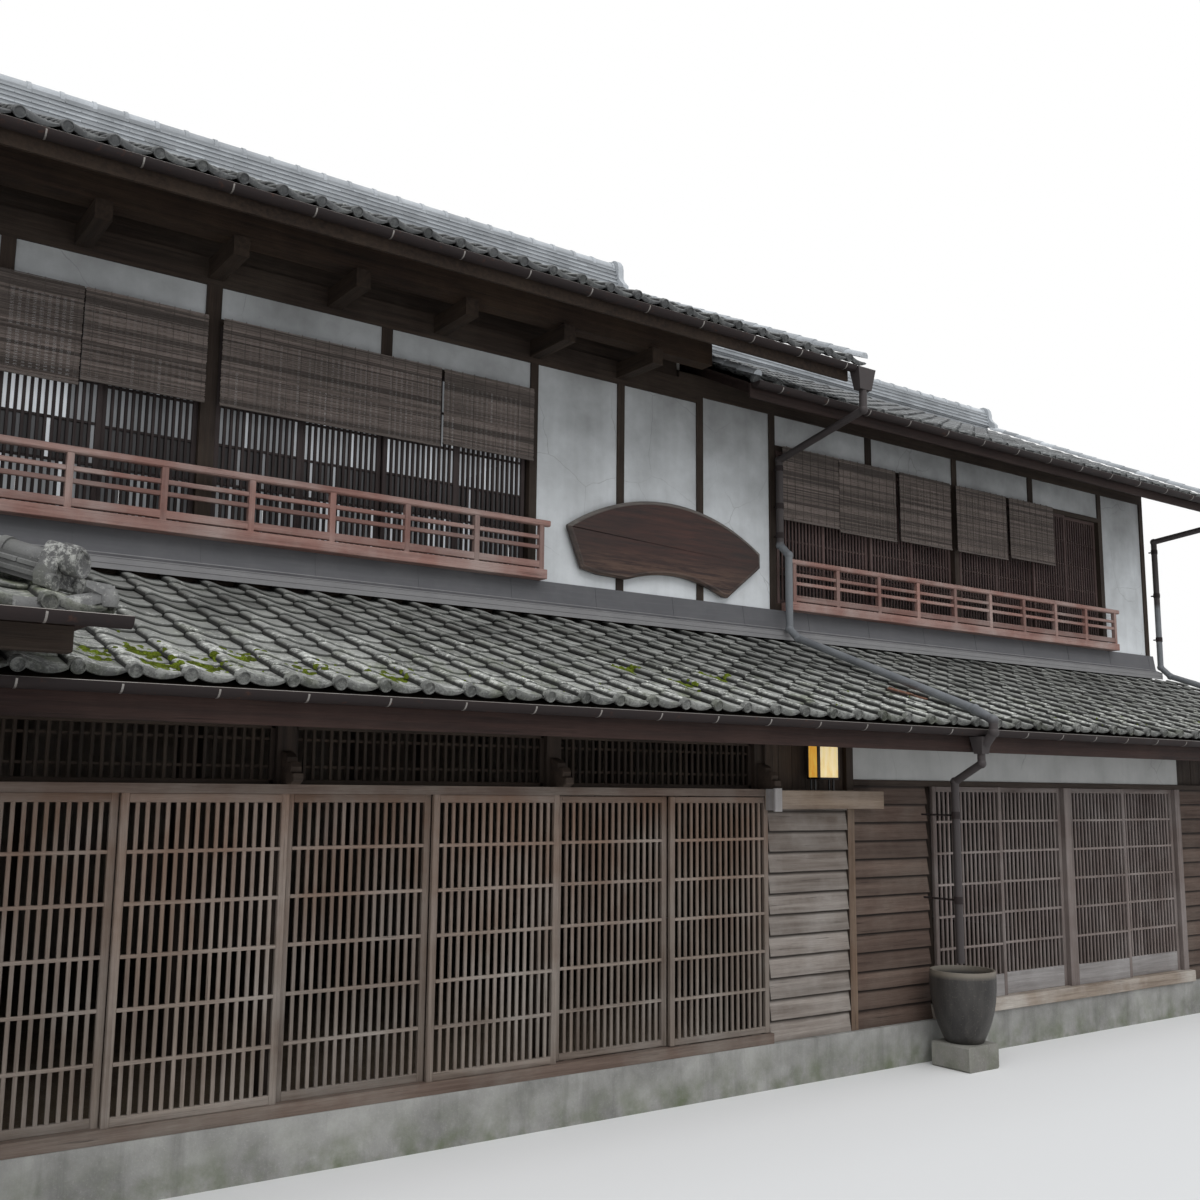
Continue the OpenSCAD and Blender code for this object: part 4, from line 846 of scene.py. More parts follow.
def porch_boards():
    """Boards under the porch tiles: a hipped shell with its eave boards."""
    low, high, half, peak, _ = porch()
    drop = 0.082
    eave = high.z - PORCH_RISE * half - drop
    back = PENT_EAVE_Y + (eave + drop - PENT_EAVE_Z) / PENT_SLOPE
    corners = ((low.x, low.y), (high.x, low.y), (high.x, back), (low.x, back))
    points = [(x, y, z) for z in (low.z, eave) for x, y in corners]
    points += [(peak.x, peak.y, high.z - drop), (peak.x, high.y, high.z - drop)]
    faces = [(3, 2, 1, 0), (0, 1, 5, 4), (1, 2, 6, 5), (3, 0, 4, 7), (4, 5, 8), (5, 6, 9, 8), (4, 8, 9, 7),
             (2, 3, 7, 9, 6)]
    shape = Shape()
    shape.add(points, faces)
    shape.make("porch_boards", "fascia_wood", "dark_timber")


def porch_ridge_tiles():
    peak, corners = porch()[3:]
    shape = Shape()
    back = Vector((peak.x, hi("porch_ridges").y, peak.z))
    lines = [(peak - Vector((0, 0.02, 0)), back, None)]
    lines += [(corner.lerp(peak, 0.13), peak, corner) for corner in corners.values()]
    for foot, top, corner in lines:
        ridge_courses(shape, foot, top, 2, 0.042, 0.105, 0.058)
        if corner:
            ahead = (corner - peak).normalized()
            hip_end(shape, foot, ahead)
            corner_tile(shape, corner, ahead)
    shape.make("porch_ridge_tiles", "porch_ridge_tile", "roof_tile", "porch_ridges", smooth=45)


def hip_end(shape, foot, ahead):
    """End tile of a hip: a rounded plate with side scrolls and a round face on top."""
    side = UP.cross(ahead).normalized()
    right = [(0.13, -0.03), (0.135, 0.03), (0.10, 0.075), (0.085, 0.12)]
    outline = right + arc((0, 0.12), 0.075, 20, 160, 8) + [(-u, w) for u, w in right[::-1]]
    steps = ((-0.02, 0), (0.05, 0), (0.065, 0.012), (0.065, 0.026), (0.052, 0.034))
    loft(shape, stack(outline, steps, lambda out, u, w: foot + ahead * out + side * u + UP * w), -0.3, 0.6)
    for u, w, out, radius, length in ((0.105, 0, 0.05, 0.042, 0.03), (-0.105, 0, 0.05, 0.042, 0.03),
                                      (0, 0.125, 0.06, 0.078, 0.085)):
        disc(shape, foot + ahead * out + side * u + UP * w, side, ahead, radius, length)


def disc(shape, centre, side, ahead, radius, length):
    """A round boss with a hollow face, pointing ahead."""
    steps = ((1.0, 0.0), (1.0, 0.85), (0.9, 1.0), (0.76, 1.0), (0.7, 0.85), (0.01, 0.8))
    rings = [[centre + ahead * out * length + side * radius * share * math.cos(t)
              + UP * (radius * share * math.sin(t)) for t in turns(18)] for share, out in steps]
    loft(shape, rings, 0.1, 0.6)


def corner_tile(shape, corner, ahead):
    """The porch's corner tile: a thick curved lip that sweeps up to its tip."""
    section = [(-0.10, 0.03), (-0.10, 0.0), (0.0, -0.045), (0.022, -0.045), (0.026, -0.01), (0.012, 0.018)]
    for across in (Vector((ahead.x, 0, 0)).normalized(), Vector((0, ahead.y, 0)).normalized()):
        out = UP.cross(across)
        out = -out if out.dot(ahead) < 0 else out
        rings = []
        for s in np.linspace(-0.40, 0.03, 11):
            lift = 0.085 * max(0.0, (s + 0.34) / 0.37) ** 2
            rings.append([corner + across * s + UP * (lift - 0.045) + out * u + UP * w for u, w in section])
        loft(shape, rings, 1.2, 0.45, flip=across.cross(out).z < 0)
    tip = corner + Vector((ahead.x, ahead.y, 0)).normalized() * 0.015
    bud = [(0.001, -0.05), (0.035, -0.045), (0.045, 0.0), (0.03, 0.035), (0.001, 0.042)]
    revolve(shape, bud, tip, "z", 12, 1.0, 0.45)


def porch_frame():
    """Stone piers, posts, front beam and ties of the porch."""
    low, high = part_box("porch_frame")
    middle = (low.x + high.x) / 2
    stones, timbers = Shape(), Shape()
    y = low.y + 0.125
    beam_z, beam_h, pier_h = high.z, 0.13, 0.43
    for x in (middle - BAY, middle + BAY):
        bar(stones, (x - 0.125, y - 0.125, low.z), (x + 0.125, y + 0.125, pier_h), 0.012)
        bar(timbers, (x - 0.06, y - 0.06, pier_h), (x + 0.06, y + 0.06, beam_z - beam_h), 0.006)
        bar(timbers, (x - 0.045, y + 0.06, TRANSOM_Z + 0.18), (x + 0.045, high.y, TRANSOM_Z + 0.29), 0.006)
    bar(timbers, (low.x, y - 0.06, beam_z - beam_h), (high.x, y + 0.06, beam_z), 0.008)
    stones.make("porch_piers", "pier_stone", "footing_stone", "porch_frame")
    timbers.make("porch_timbers", "dark_timber", "dark_timber")


# Lattices
def lattice_panel(shape, x, width, y, z0, z1, bars, foot, head, kick=None):
    """Stiles and rails, upright bars in front of five thinner cross rails, and a board at the foot."""
    stile, bar_w, cross, rows = 0.047, 0.023, 0.021, 6
    tone = rng.gauss(0.1, 0.3)
    left, right, back = x + stile, x + width - stile, y + PANEL_T
    for a, b in ((x, left), (right, x + width)):
        bar(shape, (a + 0.0005, y, z0), (b - 0.0005, back, z1), 0.004, tone + rng.gauss(0, 0.15))
    bar(kick or shape, (left, y + 0.002, z0), (right, back, z0 + foot), 0.003, tone + 0.2)
    bar(shape, (left, y + 0.002, z1 - head), (right, back, z1), 0.003, tone - 0.3)
    gap = (width - 2 * stile - bars * bar_w) / (bars + 1)
    for i in range(bars):
        a = left + gap + i * (gap + bar_w)
        bar(shape, (a, y + 0.003, z0 + foot), (a + bar_w, y + 0.019, z1 - head), 0.002,
            tone + rng.gauss(0, 0.35))
    clear = (z1 - z0 - foot - head - (rows - 1) * cross) / rows
    for j in range(rows - 1):
        z = z0 + foot + clear + j * (clear + cross)
        bar(shape, (left, y + 0.0015, z), (right, y + 0.027, z + cross), 0.002, tone + 1.1)


def lattices():
    """The doors on their runners, the fixed panels beside them and the right block's windows."""
    for side in ("left", "right"):
        node, shape = "lattice_door_" + side, Shape()
        low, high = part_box(node)
        foot = low.z + 0.0057
        lattice_panel(shape, low.x, high.x - low.x, low.y, foot, high.z, 15, 0.046, 0.046)
        for left in (low.x + 0.09, high.x - 0.18):
            bar(shape, (left, low.y + 0.008, low.z), (left + 0.09, low.y + 0.025, foot), 0.001, 0)
        shape.make(node + "_bars", "lattice_wood", "lattice_wood", node, body="door_" + side)
    kick = Shape()
    for node in ("fixed_lattice_inner", "fixed_lattice_outer", "right_lattice_inner",
                 "right_lattice_outer"):
        shape, fixed = Shape(), node.startswith("fixed")
        low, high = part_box(node)
        panels = round((high.x - low.x) / BAY) if fixed else 2
        width = BAY if fixed else (high.x - low.x) / 2
        for i in range(panels):
            y = REAR_TRACK if i % 2 != fixed else 0.0
            sizes = (15, 0.052, 0.052) if fixed else (14, 0.19, 0.046, kick)
            lattice_panel(shape, low.x + i * width, width, y, low.z, high.z, *sizes)
        shape.make(node + "_bars", "lattice_wood" if fixed else "window_lattice_wood", "lattice_wood", node)
    kick.make("kick_boards", "kick_boards", "lattice_wood")


def window_frame():
    """Sill, head beam and mullions of the right windows."""
    low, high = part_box("window_sill_beam")
    foot = lo("right_lattice_inner").z
    sill, head, posts = Shape(), Shape(), Shape()
    bar(sill, (WINDOW_START, low.y, low.z), (WINDOW_END, high.y, foot), 0.006, 0.2)
    bar(head, (low.x, 0.01, WINDOW_TOP), (high.x, high.y, WINDOW_HEAD), 0.004, 0)
    for left in (hi("right_lattice_inner").x, hi("right_lattice_outer").x):
        bar(posts, (left, -0.005, foot), (left + 0.09, high.y, WINDOW_TOP), 0.004, 0)
    sill.make("window_sill", "window_sill_wood", "sill_wood", "window_sill_beam")
    head.make("window_head", "dark_timber", "sill_wood")
    posts.make("window_mullions", "window_lattice_wood", "lattice_wood")


def transoms():
    """Barred panels over the lintel, with their frames."""
    shape = Shape()
    low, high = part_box("transom_lattice")
    post, count, width, foot, head = 0.12, 30, 0.022, low.z + 0.03, high.z - 0.06
    for x0 in np.arange(round((high.x - low.x) / BAY / 2)) * 2 * BAY + low.x:
        x1 = x0 + 2 * BAY - post
        for z0, z1, tone in ((low.z, foot, 0.4), (head, high.z, 1.2)):
            bar(shape, (x0, low.y, z0), (x1, high.y, z1), 0.003, tone)
        for x in (x0, x1 - 0.03):
            bar(shape, (x, low.y, low.z), (x + 0.03, high.y, high.z), 0.003, 0)
        for z in (low.z + 0.1, high.z - 0.13):
            bar(shape, (x0 + 0.03, high.y - 0.009, z), (x1 - 0.03, high.y - 0.001, z + 0.018), 0.002, 1.5)
        gap = (x1 - x0 - 0.06 - count * width) / (count + 1)
        for left in x0 + 0.03 + gap + np.arange(count) * (gap + width):
            bar(shape, (left, low.y + 0.002, foot), (left + width, high.y - 0.01, head), 0.004)
    shape.make("transom_bars", "dark_timber", "dark_timber", "transom_lattice")


def corbels():
    """Carved scrolls that stand forward from the foot of the posts over the lintel."""
    shape = Shape()
    outline = [(0, 0), (0.16, 0), (0.205, 0.025), (0.2, 0.065), (0.16, 0.075), (0.172, 0.105),
               (0.15, 0.135), (0.105, 0.135), (0.1, 0.165), (0.065, 0.185), (0, 0.205)]
    points = [(POST_Y - out, TRANSOM_Z + up) for out, up in outline]
    for k in (-1, -3, -5, -7, -9):
        steps = ((-0.035, -0.008), (-0.03, 0), (0.03, 0), (0.035, -0.008))
        loft(shape, stack(points, steps, lambda x, y, z: (k * BAY + x, y, z)), 2.0)
    shape.make("post_corbels", "dark_timber", "dark_timber")


# Board walls
CLAPBOARD_H = 0.148


def clapboards(shape, x0, x1, z0, z1):
    """Overlapping boards, each cupped a little and cut to its own length, with painted shade under each lap.
    """
    count = math.floor((z1 - z0) / CLAPBOARD_H + 0.001)
    h = (z1 - z0) / count
    out, back, thick = POST_Y - 0.073, POST_Y - 0.05, 0.018
    for z in z0 + np.arange(count) * h:
        outline = [(out, z + 0.001), (out + thick, z), (back + thick, z + h + 0.006),
                   (back + 0.001, z + h + 0.006), (back, z + h - 0.012), (back - 0.002, z + h - 0.03)]
        ends = x0 + rng.uniform(0, 0.003), x1 - rng.uniform(0, 0.003)
        # painted shade: these values darken each board's underside and the strip under the lap above
        prism(shape, outline, "x", *ends, rng.gauss(0, 0.5), np.tile([0.2, 1, 1, 1, 1, 0.0], 7), 0.0012, 6)


def clapboard_walls():
    """Clapboards beside the doors and the windows, upright boards over them and the face of a post."""
    left, right, dark, post = Shape(), Shape(), Shape(), Shape()

    def upright(x0, count, width, foot, back, head):
        for i in range(count):
            x = x0 + i * width
            front = POST_Y - 0.035 + rng.uniform(0, 0.003)
            bar(dark, (x, front, foot), (x + width - 0.002, back, head), 0.003)

    low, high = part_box("clapboard_wall_left")
    top = hi("lantern_shelf").z - 0.014
    clapboards(left, low.x, high.x, low.z, top)
    left.make("clapboards_left", "grey_boards", "grey_boards", "clapboard_wall_left")
    upright(low.x, 6, (high.x - low.x) / 6, top, high.y, high.z)
    low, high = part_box("clapboard_wall_right")
    for x0, x1 in ((low.x, WINDOW_START), (WINDOW_END, high.x)):
        clapboards(right, x0, x1, low.z, WINDOW_TOP)
    right.make("clapboards_right", "brown_boards", "grey_boards", "clapboard_wall_right")
    count = round((high.x - WINDOW_END) / 0.16)
    upright(WINDOW_END, count, (high.x - WINDOW_END) / count, WINDOW_HEAD, high.y, high.z)
    dark.make("plain_boards", "dark_timber", "dark_timber")
    bar(post, (-0.0795, POST_Y - 0.077, low.z), (-0.0005, POST_Y - 0.0735, TRANSOM_Z), 0.001, 0.3)
    post.make("mid_post_face", "mid_post_wood", "dark_timber")


# Lantern and its shelf
def shelf():
    """The grey plank under the lantern, with its rounded end cap."""
    low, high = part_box("lantern_shelf")
    plank, cap = Shape(), Shape()
    z0, z1 = low.z + 0.02, high.z - 0.014
    bar(plank, (low.x, low.y + 0.025, z0), (high.x, -0.02, z1), 0.006, 0.2, 0, 0.001, 6)
    bar(plank, (lo("clapboard_wall_left").x + 0.001, -0.02, z0), (high.x, high.y, z1), 0.004, -0.4)
    bar(cap, (low.x, low.y, low.z), (low.x + 0.081, low.y + 0.025, high.z), 0.006, 0.4)
    bar(cap, (low.x - 0.0005, low.y + 0.02, low.z + 0.01), (low.x + 0.03, -0.025, high.z - 0.006), 0.006,
        0.2)
    plank.make("shelf_plank", "sill_wood", "grey_boards", "lantern_shelf")
    cap.make("shelf_cap", "kick_boards", "grey_boards")


def lantern():
    """A black frame on legs with glowing panes in front and at the sides."""
    low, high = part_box("lantern")
    rod, base = 0.014, low.z + 0.09
    rods, front, sides = Shape(), Shape(), Shape()
    xs, ys = (low.x, high.x - rod), (low.y, high.y - rod)

    def rail(x0, y0, z0, x1, y1, z1, edge=0.002, shape=rods):
        bar(shape, (x0, y0, z0), (x1, y1, z1), edge, 0)

    for x in xs:
        for y in ys:
            rail(x, y, base, x + rod, y + rod, high.z)
    rail(low.x + rod, low.y, base, low.x + 2 * rod, low.y + rod, high.z)
    for z in (base, high.z - rod):
        for y in ys:
            rail(low.x, y, z, high.x, y + rod, z + rod)
        for x in xs:
            rail(x, low.y, z, x + rod, high.y, z + rod)
    rail(low.x, low.y, high.z - 0.018, high.x, high.y, high.z, 0.004)
    rail(low.x, low.y, base, high.x, high.y, base + 0.012, 0.004)
    rail(low.x + 0.006, high.y - 0.012, base, high.x - 0.006, high.y - 0.002, high.z)
    for x in (low.x + rod, high.x - 2 * rod):
        for y in (low.y + 0.048, high.y - 2 * rod):
            rail(x, y, low.z, x + rod, y + rod, base + 0.001)
    foot, head = base + 0.01, high.z - 0.01
    rail(low.x + 2 * rod - 0.002, low.y + 0.007, foot, high.x - rod + 0.002, low.y + 0.01, head, 0.0005,
         front)
    for x in (low.x + 0.006, high.x - 0.009):
        rail(x, low.y + rod - 0.002, foot, x + 0.003, high.y - rod + 0.002, head, 0.0005, sides)
    rods.make("lantern_frame", "lantern_frame", "lantern_paper", "lantern")
    front.make("lantern_front_pane", "lantern_front", "lantern_paper")
    sides.make("lantern_side_panes", "lantern_side", "lantern_paper")


# Blinds: left and right ends in bays, and how far they hang down
BLINDS = ((-7.95, -5.98, 0.749), (-5.97, -5.06, 0.705), (-4.94, -3.01, 0.705), (-2.98, -2.05, 0.675),
          (1.08, 1.925, 0.795), (1.935, 2.855, 0.823), (2.925, 3.82, 0.800), (3.93, 4.88, 0.795),
          (4.945, 5.845, 0.759))


def blind(shape, x0, x1, foot, top, y):
    """Reeds laid one above another and held by rows of stitches."""
    pitch, r, group = 0.0075, 0.0034, 0.0
    for z in foot + np.arange(int((top - foot) / pitch)) * pitch:
        group = rng.gauss(0, 0.8) if rng.random() < 0.4 else group
        edge = rng.uniform(-0.004, 0.004)
        prism(shape, [(y - r, z), (y, z - r), (y + r, z), (y, z + r)], "x", x0 + edge, x1 + edge,
              group + rng.gauss(0, 0.35), 0, 0.0008, max(3, round((x1 - x0) / 0.3)))
    for s in np.arange(x0 + 0.06, x1 - 0.03, 0.115):
        bar(shape, (s, y - 0.006, foot), (s + 0.002, y + 0.005, top), 0.0008, -0.5)
    bar(shape, (x0, y - 0.009, foot - 0.012), (x1, y + 0.006, foot + 0.006), 0.002, -0.6)


def blinds():
    shape = Shape()
    low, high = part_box("bamboo_blinds")
    y = low.y + 0.009
    for left, right, drop in BLINDS:
        x0, x1 = left * BAY, right * BAY
        blind(shape, x0, x1, high.z - drop + 0.012, high.z, y)
        for x in (x0 + 0.06, x1 - 0.1):
            bar(shape, (x, y, high.z - 0.04), (x + 0.04, high.y, high.z - 0.01), 0.003, -1)
    shape.make("reed_blinds", "bamboo_reed", "bamboo", "bamboo_blinds")


# Railings
def railing(shape, x0, x1, y, z, seat_y):
    """Base board, three thin rails, a moulded top rail and posts."""
    top = z + hi("railings").z - z
    posts = round((x1 - x0 - 0.06) / (BAY / 1.5))
    rows = [(x0, y - 0.03, z, x1, seat_y, z + 0.085, 0.004, 0.5)]
    rows += [(x0 + 0.03, y - half, z + a, x1 - 0.03, y + half, z + b, 0.004, None)
             for a, b, half in ((0.098, 0.158, 0.022), (0.265, 0.3, 0.015), (0.355, 0.39, 0.015))]
    rows += [(x0 - 0.03, y - 0.03, top - 0.052, x1 + 0.03, y + 0.03, top, 0.009, 0.4)]
    for *ends, edge, tone in rows:
        bar(shape, ends[:3], ends[3:], edge, tone, 0, 0.001, 8)
    for i in range(posts + 1):
        c = x0 + 0.055 + i * (x1 - x0 - 0.11) / posts
        bar(shape, (c - 0.025, y - 0.025, z + 0.085), (c + 0.025, y + 0.025, top - 0.05), 0.004)


def railings():
    shape = Shape()
    low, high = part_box("railings")
    for x0, x1 in ((low.x + 0.03, -2 * BAY + 0.07), (BAY + 0.11, high.x - 0.03)):
        railing(shape, x0, x1, low.y + 0.03, low.z, high.y)
    shape.make("railing_bars", "red_timber", "red_timber", "railings")


# Upper windows: painted light and shade on the panes, as how much sky they show, up to a place along the
# wall, then in each row from the foot
PANE_SHINE = ((-5.93, 1.0), (-4.15, 0.38), (0.0, 0.7), (99.0, 0.0))
BACK_SHINE = ((99.0, 0.15),)
PANE_ROWS = (0.55, 0.06, 1.0, 0.9, 0.8)
WINDOW_STARTS = (-8, -5, 1, 4)


def sash(shape, panes, x, width, y, inward, low_z, high_z, shine_at):
    """A barred sash seen from its outer face at y, with cross rails, and a pane in each of its openings."""
    stile, bar_w, count, depth = 0.04, 0.021, 12, 0.03
    left, right, foot, head = x + stile, x + width - stile, low_z + 0.04, high_z - 0.04
    tone = rng.gauss(0, 0.3)

    def stick(x0, x1, near, far, z0, z1, shade, edge=0.003, target=shape):
        ys = sorted((y + inward * near, y + inward * far))
        bar(target, (x0, ys[0], z0), (x1, ys[1], z1), edge, shade)

    for a in (x, right):
        stick(a + 0.0005, a + stile - 0.0005, 0, depth, low_z, high_z, tone + 0.4)
    for z in (low_z, head):
        stick(left, right, 0.001, depth, z, z + 0.04, tone)
    gap = (width - 2 * stile - count * bar_w) / (count + 1)
    rails = [low_z + 0.375 + 0.305 * j for j in range(4)]
    for z in rails:
        stick(left, right, 0.012, 0.024, z - 0.01, z + 0.01, tone - 0.5, 0.002)
    levels = [foot] + rails + [head]
    for i in range(count + 1):
        a = left + i * (gap + bar_w)
        if i < count:
            stick(a + gap, a + gap + bar_w, 0, 0.016, foot, head, tone + rng.gauss(0, 0.3), 0.002)
        # painted light: how bright this pane is painted
        shine = next(value for limit, value in shine_at if a < limit)
        for j, share in enumerate(PANE_ROWS):
            # painted highlights: a few panes get a glint
            glint = rng.random() < (0.35 if j == 0 else 0.08)
            level = shine * share + rng.gauss(0, 0.05) + (shine * 0.9 if glint else 0)
            stick(a, a + gap, 0.024, 0.027, levels[j], levels[j + 1], level, 0.0005, panes)


def upper_windows():
    """Sashes and panes of every window row, front and back."""
    low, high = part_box("front_sashes")
    step = 0.75 * BAY - 0.03
    for side, inward, shine, stood_for in (("front", 1, PANE_SHINE, ["window_glass"]),
                                           ("back", -1, BACK_SHINE, [])):
        shape, brown, panes = Shape(), Shape(), Shape()
        for start in WINDOW_STARTS:
            for i in range(4):
                x, y = start * BAY + 0.06 + i * step, low.y + (i % 2) * 0.038
                y = y if inward > 0 else 2 * RIDGE_Y - y
                sash(shape if start < 0 else brown, panes, x, step, y, inward, low.z, high.z, shine)
        shape.make(f"upper_sashes_{side}", "upper_sash_wood", "lattice_wood", side + "_sashes")
        brown.make(f"upper_brown_sashes_{side}", "brown_sash_wood", "lattice_wood")
        panes.make(f"upper_panes_{side}", "screen_painted_light", "window_glass", *stood_for)


def strip_struts():
    """Short posts in the plaster over the middle of every upper window, front and back."""
    shape = Shape()
    foot, head = hi("window_beams").z - 0.002, lo("wall_plates").z + 0.1
    back = 2 * RIDGE_Y - UPPER_Y
    for start in WINDOW_STARTS:
        x = (start + 1.5) * BAY
        for y0, y1 in ((UPPER_Y + 0.004, UPPER_Y + 0.06), (back - 0.06, back - 0.004)):
            bar(shape, (x - 0.05, y0, foot), (x + 0.05, y1, head), 0.004)
    shape.make("strip_struts", "dark_timber", "dark_timber")


# Rainwater goods
def gutter_trim(shape, x0, x1, y, z, side, first, step):
    """Bright rim bead and thin straps of one half-round gutter; y is its outer rim."""
    prism(shape, arc((y + side * 0.0057, z - 0.002), 0.0055, 0, 315, 8), "x", x0 + 0.001, x1 - 0.001, 0.5)
    under = np.linspace(0, 0.75 * math.pi, 8)
    ring = [(y + side * max(0.0, GUTTER_R - r * math.cos(t)), z - r * math.sin(t))
            for r, path in ((GUTTER_R + 0.0015, under), (GUTTER_R - 0.0005, under[::-1])) for t in path]
    for x in np.arange(x0 + first, x1 - 0.05, step):
        prism(shape, ring[::side], "x", x, x + 0.011, 0.8)


def gutters():
    shape = Shape()
    gutter_trim(shape, LEFT_X, RIGHT_X, GUTTER_Y - GUTTER_R, PENT_EAVE_Z - 0.005, 1, 0.3, 0.502)
    low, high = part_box("pent_gutter")
    gutter_trim(shape, lo("porch_roof").x - 0.1, hi("porch_roof").x + 0.1, low.y, high.z, 1, 0.4, 0.474)
    for node in ("left_gutter", "right_gutter"):
        low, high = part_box(node)
        for y, side in ((low.y, 1), (high.y, -1)):
            gutter_trim(shape, low.x, high.x, y, high.z, side, 0.3, 0.6)
    shape.make("gutter_straps", "rim_metal", "gutter_metal")


def pipe_band(shape, x, y, z, radius, wall_y):
    """A sleeve joint with a strap back to the wall."""
    inner, outer, low, top = radius - 0.004, radius + 0.004, z - 0.03, z + 0.03
    profile = [(inner, low), (outer, low), (outer + 0.002, z), (outer, top), (inner, top)]
    revolve(shape, profile, (x, y, 0), "z", 18)
    bar(shape, (x - 0.012, y, z - 0.008), (x + 0.012, wall_y, z + 0.008), 0.002, 0)


def pipe_bands():
    """Sleeves down the wall pipes, and on the pipe that ends over the jar."""
    shape, radius = Shape(), 0.038
    for x, heights in ((BAY + 0.025, (5.55, 5.15, 4.84)), (hi("ground_posts").x + 0.09, (5.5, 4.9, 4.3))):
        for z in heights:
            pipe_band(shape, x, UPPER_Y - radius - 0.04, z, radius, UPPER_Y)
    low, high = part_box("rain_jar")
    for z in (2.05, 1.35):
        pipe_band(shape, (low.x + high.x) / 2 - 0.083, GUTTER_Y + 0.28, z, radius - 0.005, -0.02)
    shape.make("pipe_bands", "gutter_paint", "gutter_metal")


def flashing_seams():
    """Folded seams and a bright edge on the sheet over the lower roof."""
    shape, edge = Shape(), Shape()
    low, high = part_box("wall_flashing")
    z = PENT_EAVE_Z + PENT_SLOPE * (UPPER_Y - PENT_EAVE_Y) + ROLL_TOP
    top, fold, foot = (UPPER_Y - 0.03, high.z), (UPPER_Y - 0.06, z + 0.06), (UPPER_Y - 0.15, z + 0.02)
    base, front = z - ROLL_TOP - PENT_SLOPE * 0.15 + 0.085, foot[0] - 0.003
    for x in np.arange(low.x + 0.5, high.x, 0.91):
        for a, b in ((top, fold), (fold, foot)):
            outline = [(a[0] - 0.003, a[1]), (b[0] - 0.003, b[1]), (b[0] + 0.004, b[1] - 0.002),
                       (a[0] + 0.004, a[1] - 0.002)]
            prism(shape, outline, "x", x, x + 0.012, 0.5)
    for (y, w), size in ((fold, 0.007), (foot, 0.006), ((front, (foot[1] + base) / 2), 0.004)):
        prism(edge, arc((y + 0.001, w), size, 0, 315, 8), "x", low.x + 0.001, high.x - 0.001, 0.4)
    strip = [(front, base), (foot[0] + 0.002, base), (foot[0] + 0.003, foot[1]), (foot[0] - 0.001, foot[1])]
    prism(edge, strip, "x", low.x + 0.001, high.x - 0.001, 0.2)
    shape.make("flashing_seams", "zinc_sheet", "flashing_metal")
    edge.make("flashing_edges", "zinc_edge", "flashing_metal")


# Fan board
def fan_outline():
    """The board's outline, counter-clockwise from its left tip, and where its arched top starts."""
    low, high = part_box("fan_board")
    half = (high.x - low.x) / 2
    rise, depth, foot_r = 0.36, 0.706, 1.56
    top_r = (half ** 2 + rise ** 2) / (2 * rise)

    def foot(x):
        curve = -depth - foot_r + math.sqrt(foot_r ** 2 - (x - 0.03) ** 2)
        return max(curve, -rise - 0.494 + (half - 0.44 - x) / (2 * half - 0.77) * 0.069)

    points = [(-half, -rise - 0.02), (-half + 0.155, -rise - 0.39)]
    points += [(x, foot(x)) for x in np.linspace(-half + 0.33, half - 0.44, 30)] + [(half, -rise - 0.145)]
    arch_start = len(points)
    arch = np.linspace(half - 0.0005, 0.0005 - half, 40)
    points += [(x, math.sqrt(top_r ** 2 - x ** 2) - top_r) for x in arch]
    return [(low.x + half + x, high.z + z) for x, z in points], arch_start


def fan_board():
    """The board with a bevelled, greyed upper edge, on two battens."""
    low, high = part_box("fan_board")
    outline, arch_start = fan_outline()
    back, face = UPPER_Y - 0.02, low.y + 0.002
    steps = ((back, 0), (low.y + 0.02, 0), (face, 0.02), (face, 0.034), (low.y + 0.006, 0.038))
    grey = np.where(np.arange(len(outline)) >= arch_start, 1.0, 0.25)
    ages = np.outer((1.0, 1.0, 0.8, 0.5, 0.0), grey).ravel()
    shape = Shape()
    loft(shape, stack(outline, steps, lambda y, x, z: (x, y, z)), 0, ages)
    for x in (-BAY, 0):
        bar(shape, (x - 0.03, back, high.z - 0.646), (x + 0.03, UPPER_Y, high.z - 0.14), 0.003, 0)
    shape.make("fan_sign", "sign_wood", "sign_wood", "fan_board", smooth=30)


# Jar
def jar():
    """A full-bellied glazed jar on its stone."""
    low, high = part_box("rain_jar")
    x, y, r, base = (low.x + high.x) / 2, (low.y + high.y) / 2, (high.x - low.x) / 2, 0.2
    clay, stone = Shape(), Shape()
    profile = ((0.001, 0), (0.54, 0), (0.575, 0.012), (0.66, 0.09), (0.76, 0.2), (0.85, 0.32), (0.92, 0.45),
               (0.965, 0.58), (0.99, 0.7), (1.0, 0.82), (0.998, 0.92), (0.99, 0.985), (0.975, 1.0),
               (0.93, 1.0), (0.915, 0.985), (0.91, 0.9), (0.88, 0.6), (0.76, 0.3), (0.5, 0.07), (0.001, 0.07))
    revolve(clay, [(a * r, base + b * (high.z - base)) for a, b in profile], (x, y, 0), "z", 56)
    clay.make("water_jar", "glazed_clay", "glazed_clay", "rain_jar", smooth=40)
    bar(stone, (x - 0.19, y - 0.19, 0), (x + 0.19, y + 0.19, base), 0.014, 0)
    stone.make("jar_stone", "pier_stone", "footing_stone")


# Stage, light and camera
def stage():
    bpy.ops.mesh.primitive_circle_add(vertices=64, radius=160, fill_type="NGON", location=(-1.2, 3, 0))
    floor = bpy.context.object
    floor.name = "floor"
    t = Tree("floor_paint")
    far = t.many("VectorMath", {"operation": "LENGTH"}, t.position, out="Value")
    t.colour = (0.8, 0.8, 0.8, 1)
    t.finish(0.9, None, 0.1)
    glow = t.new("Emission", Color=(1, 1, 1, 1), Strength=1.0).outputs[0]
    blend = t.many("MixShader", None, t.span(far, 16, 60), t.shader.outputs[0], glow)
    t.put(t.nodes["Material Output"].inputs["Surface"], blend)
    floor.data.materials.append(t.material)


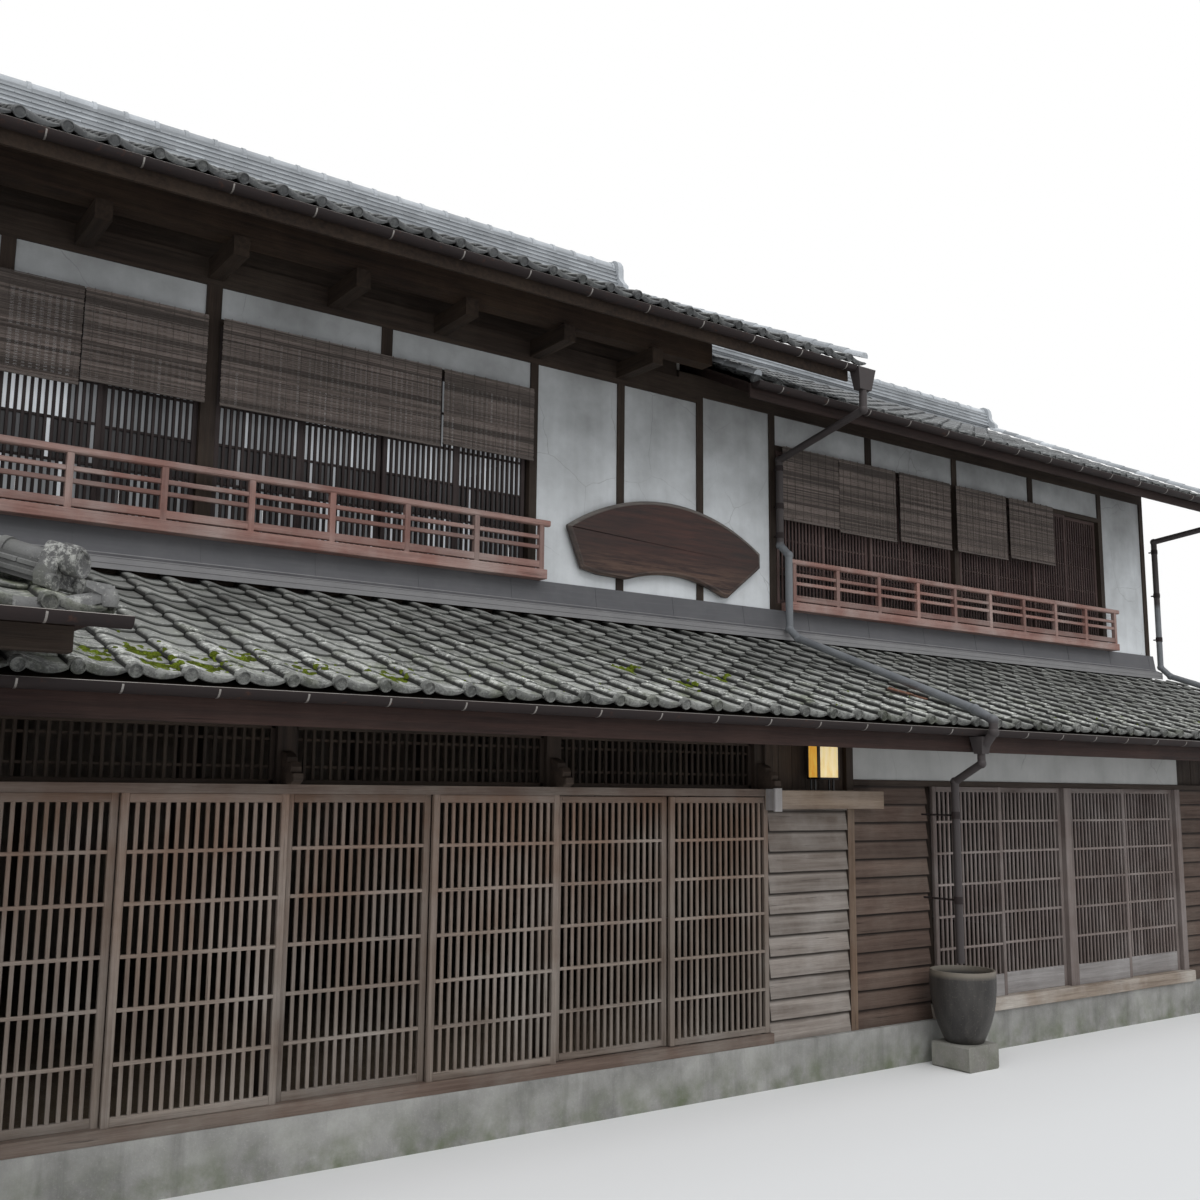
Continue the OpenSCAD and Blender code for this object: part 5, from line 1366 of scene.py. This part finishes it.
def lights():
    """A pale backdrop for the camera and reflections, with soft plain light on the house."""
    world = bpy.context.scene.world = bpy.data.worlds.new("studio")
    g = Graph(world)
    g.nodes.clear()
    camera_ray, glossy, through = (g.new("LightPath").outputs[f"Is {kind} Ray"]
                                   for kind in ("Camera", "Glossy", "Transmission"))
    seen = g.many("Math", {"operation": "ADD", "use_clamp": True}, g.add(camera_ray, glossy), through)
    soft = g.new("Background", Color=(0.93, 0.965, 1.0, 1), Strength=0.62).outputs[0]
    pale = g.new("Background", Color=(1, 1, 1, 1), Strength=1.0).outputs[0]
    g.new("OutputWorld", Surface=g.many("MixShader", None, seen, soft, pale))
    lamp = bpy.data.lights.new("sky_key", "SUN")
    lamp.energy, lamp.angle = 1.7, math.radians(65)
    key = bpy.data.objects.new("sky_key", lamp)
    key.rotation_euler = (math.radians(32), 0, math.radians(-20))
    bpy.context.scene.collection.objects.link(key)


def camera():
    """The photo's viewpoint, solved from its vanishing points."""
    yaw, pitch, roll = (math.radians(a) for a in (35.7186, 8.5445, 0.56523))
    ahead = Vector((math.sin(yaw) * math.cos(pitch), math.cos(yaw) * math.cos(pitch), math.sin(pitch)))
    level = Vector((math.cos(yaw), -math.sin(yaw), 0))
    upright = level.cross(ahead)
    right = math.cos(roll) * level + math.sin(roll) * upright
    up = math.cos(roll) * upright - math.sin(roll) * level
    data = bpy.data.cameras.new("street_camera")
    data.lens, data.sensor_width, data.clip_end = 37.5, 36, 1000
    view = bpy.data.objects.new("street_camera", data)
    turn = Matrix((right, up, -ahead)).transposed().to_4x4()
    view.matrix_world = Matrix.Translation((-7.88, -7.30, 2.25)) @ turn
    bpy.context.scene.collection.objects.link(view)
    bpy.context.scene.camera = view


NODE_LOOKS = {
    "footing_stone": "long_footings side_footings",
    "packed_earth": "ground_floor",
    "dark_timber_x": "upper_floor girders wall_plates window_beams",
    "gable_plaster": "side_walls_lower side_walls_upper middle_gable",
    "dark_timber_z": "ground_posts upper_posts",
    "lintel_wood": "door_sill door_lintel",
    # painted shade on the band under the lower roof
    "band_plaster": "plaster_band",
    "dark_timber_y": "pent_deck bracket_arms left_roof_deck",
    "fascia_wood": "pent_fascia",
    "gutter_paint": "pent_gutter left_gutter right_gutter",
    "zinc_sheet": "wall_flashing",
    "white_plaster": "upper_plaster",
    "eave_timber": "eave_purlins",
    "right_fascia_wood": "right_roof_deck",
    "pipe_paint": "downpipe_middle downpipe_right",
    "back_boards": "back_wall",
}


def dress_nodes():
    for look, nodes in NODE_LOOKS.items():
        for node in nodes.split():
            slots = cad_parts[node].data.materials
            slots.clear()
            slots.append(M[look])


bpy.context.scene.view_settings.view_transform = "Standard"
for build in (camera, lights, stage, dress_nodes, pent_roof):
    build()
for block in ("left", "right"):
    main_roof(block + "_roof_tiles", block + "_roof")
for block, courses in (("left", 5), ("right", 4)):
    main_ridge(block + "_ridge", block + "_ridge_stack", courses)
for build in (porch_boards, porch_tiles, porch_ridge_tiles, porch_frame, moss_cushions, lattices,
              window_frame, transoms, corbels, clapboard_walls, shelf, lantern, blinds, railings,
              upper_windows, strip_struts, gutters, pipe_bands, flashing_seams, fan_board, jar):
    build()
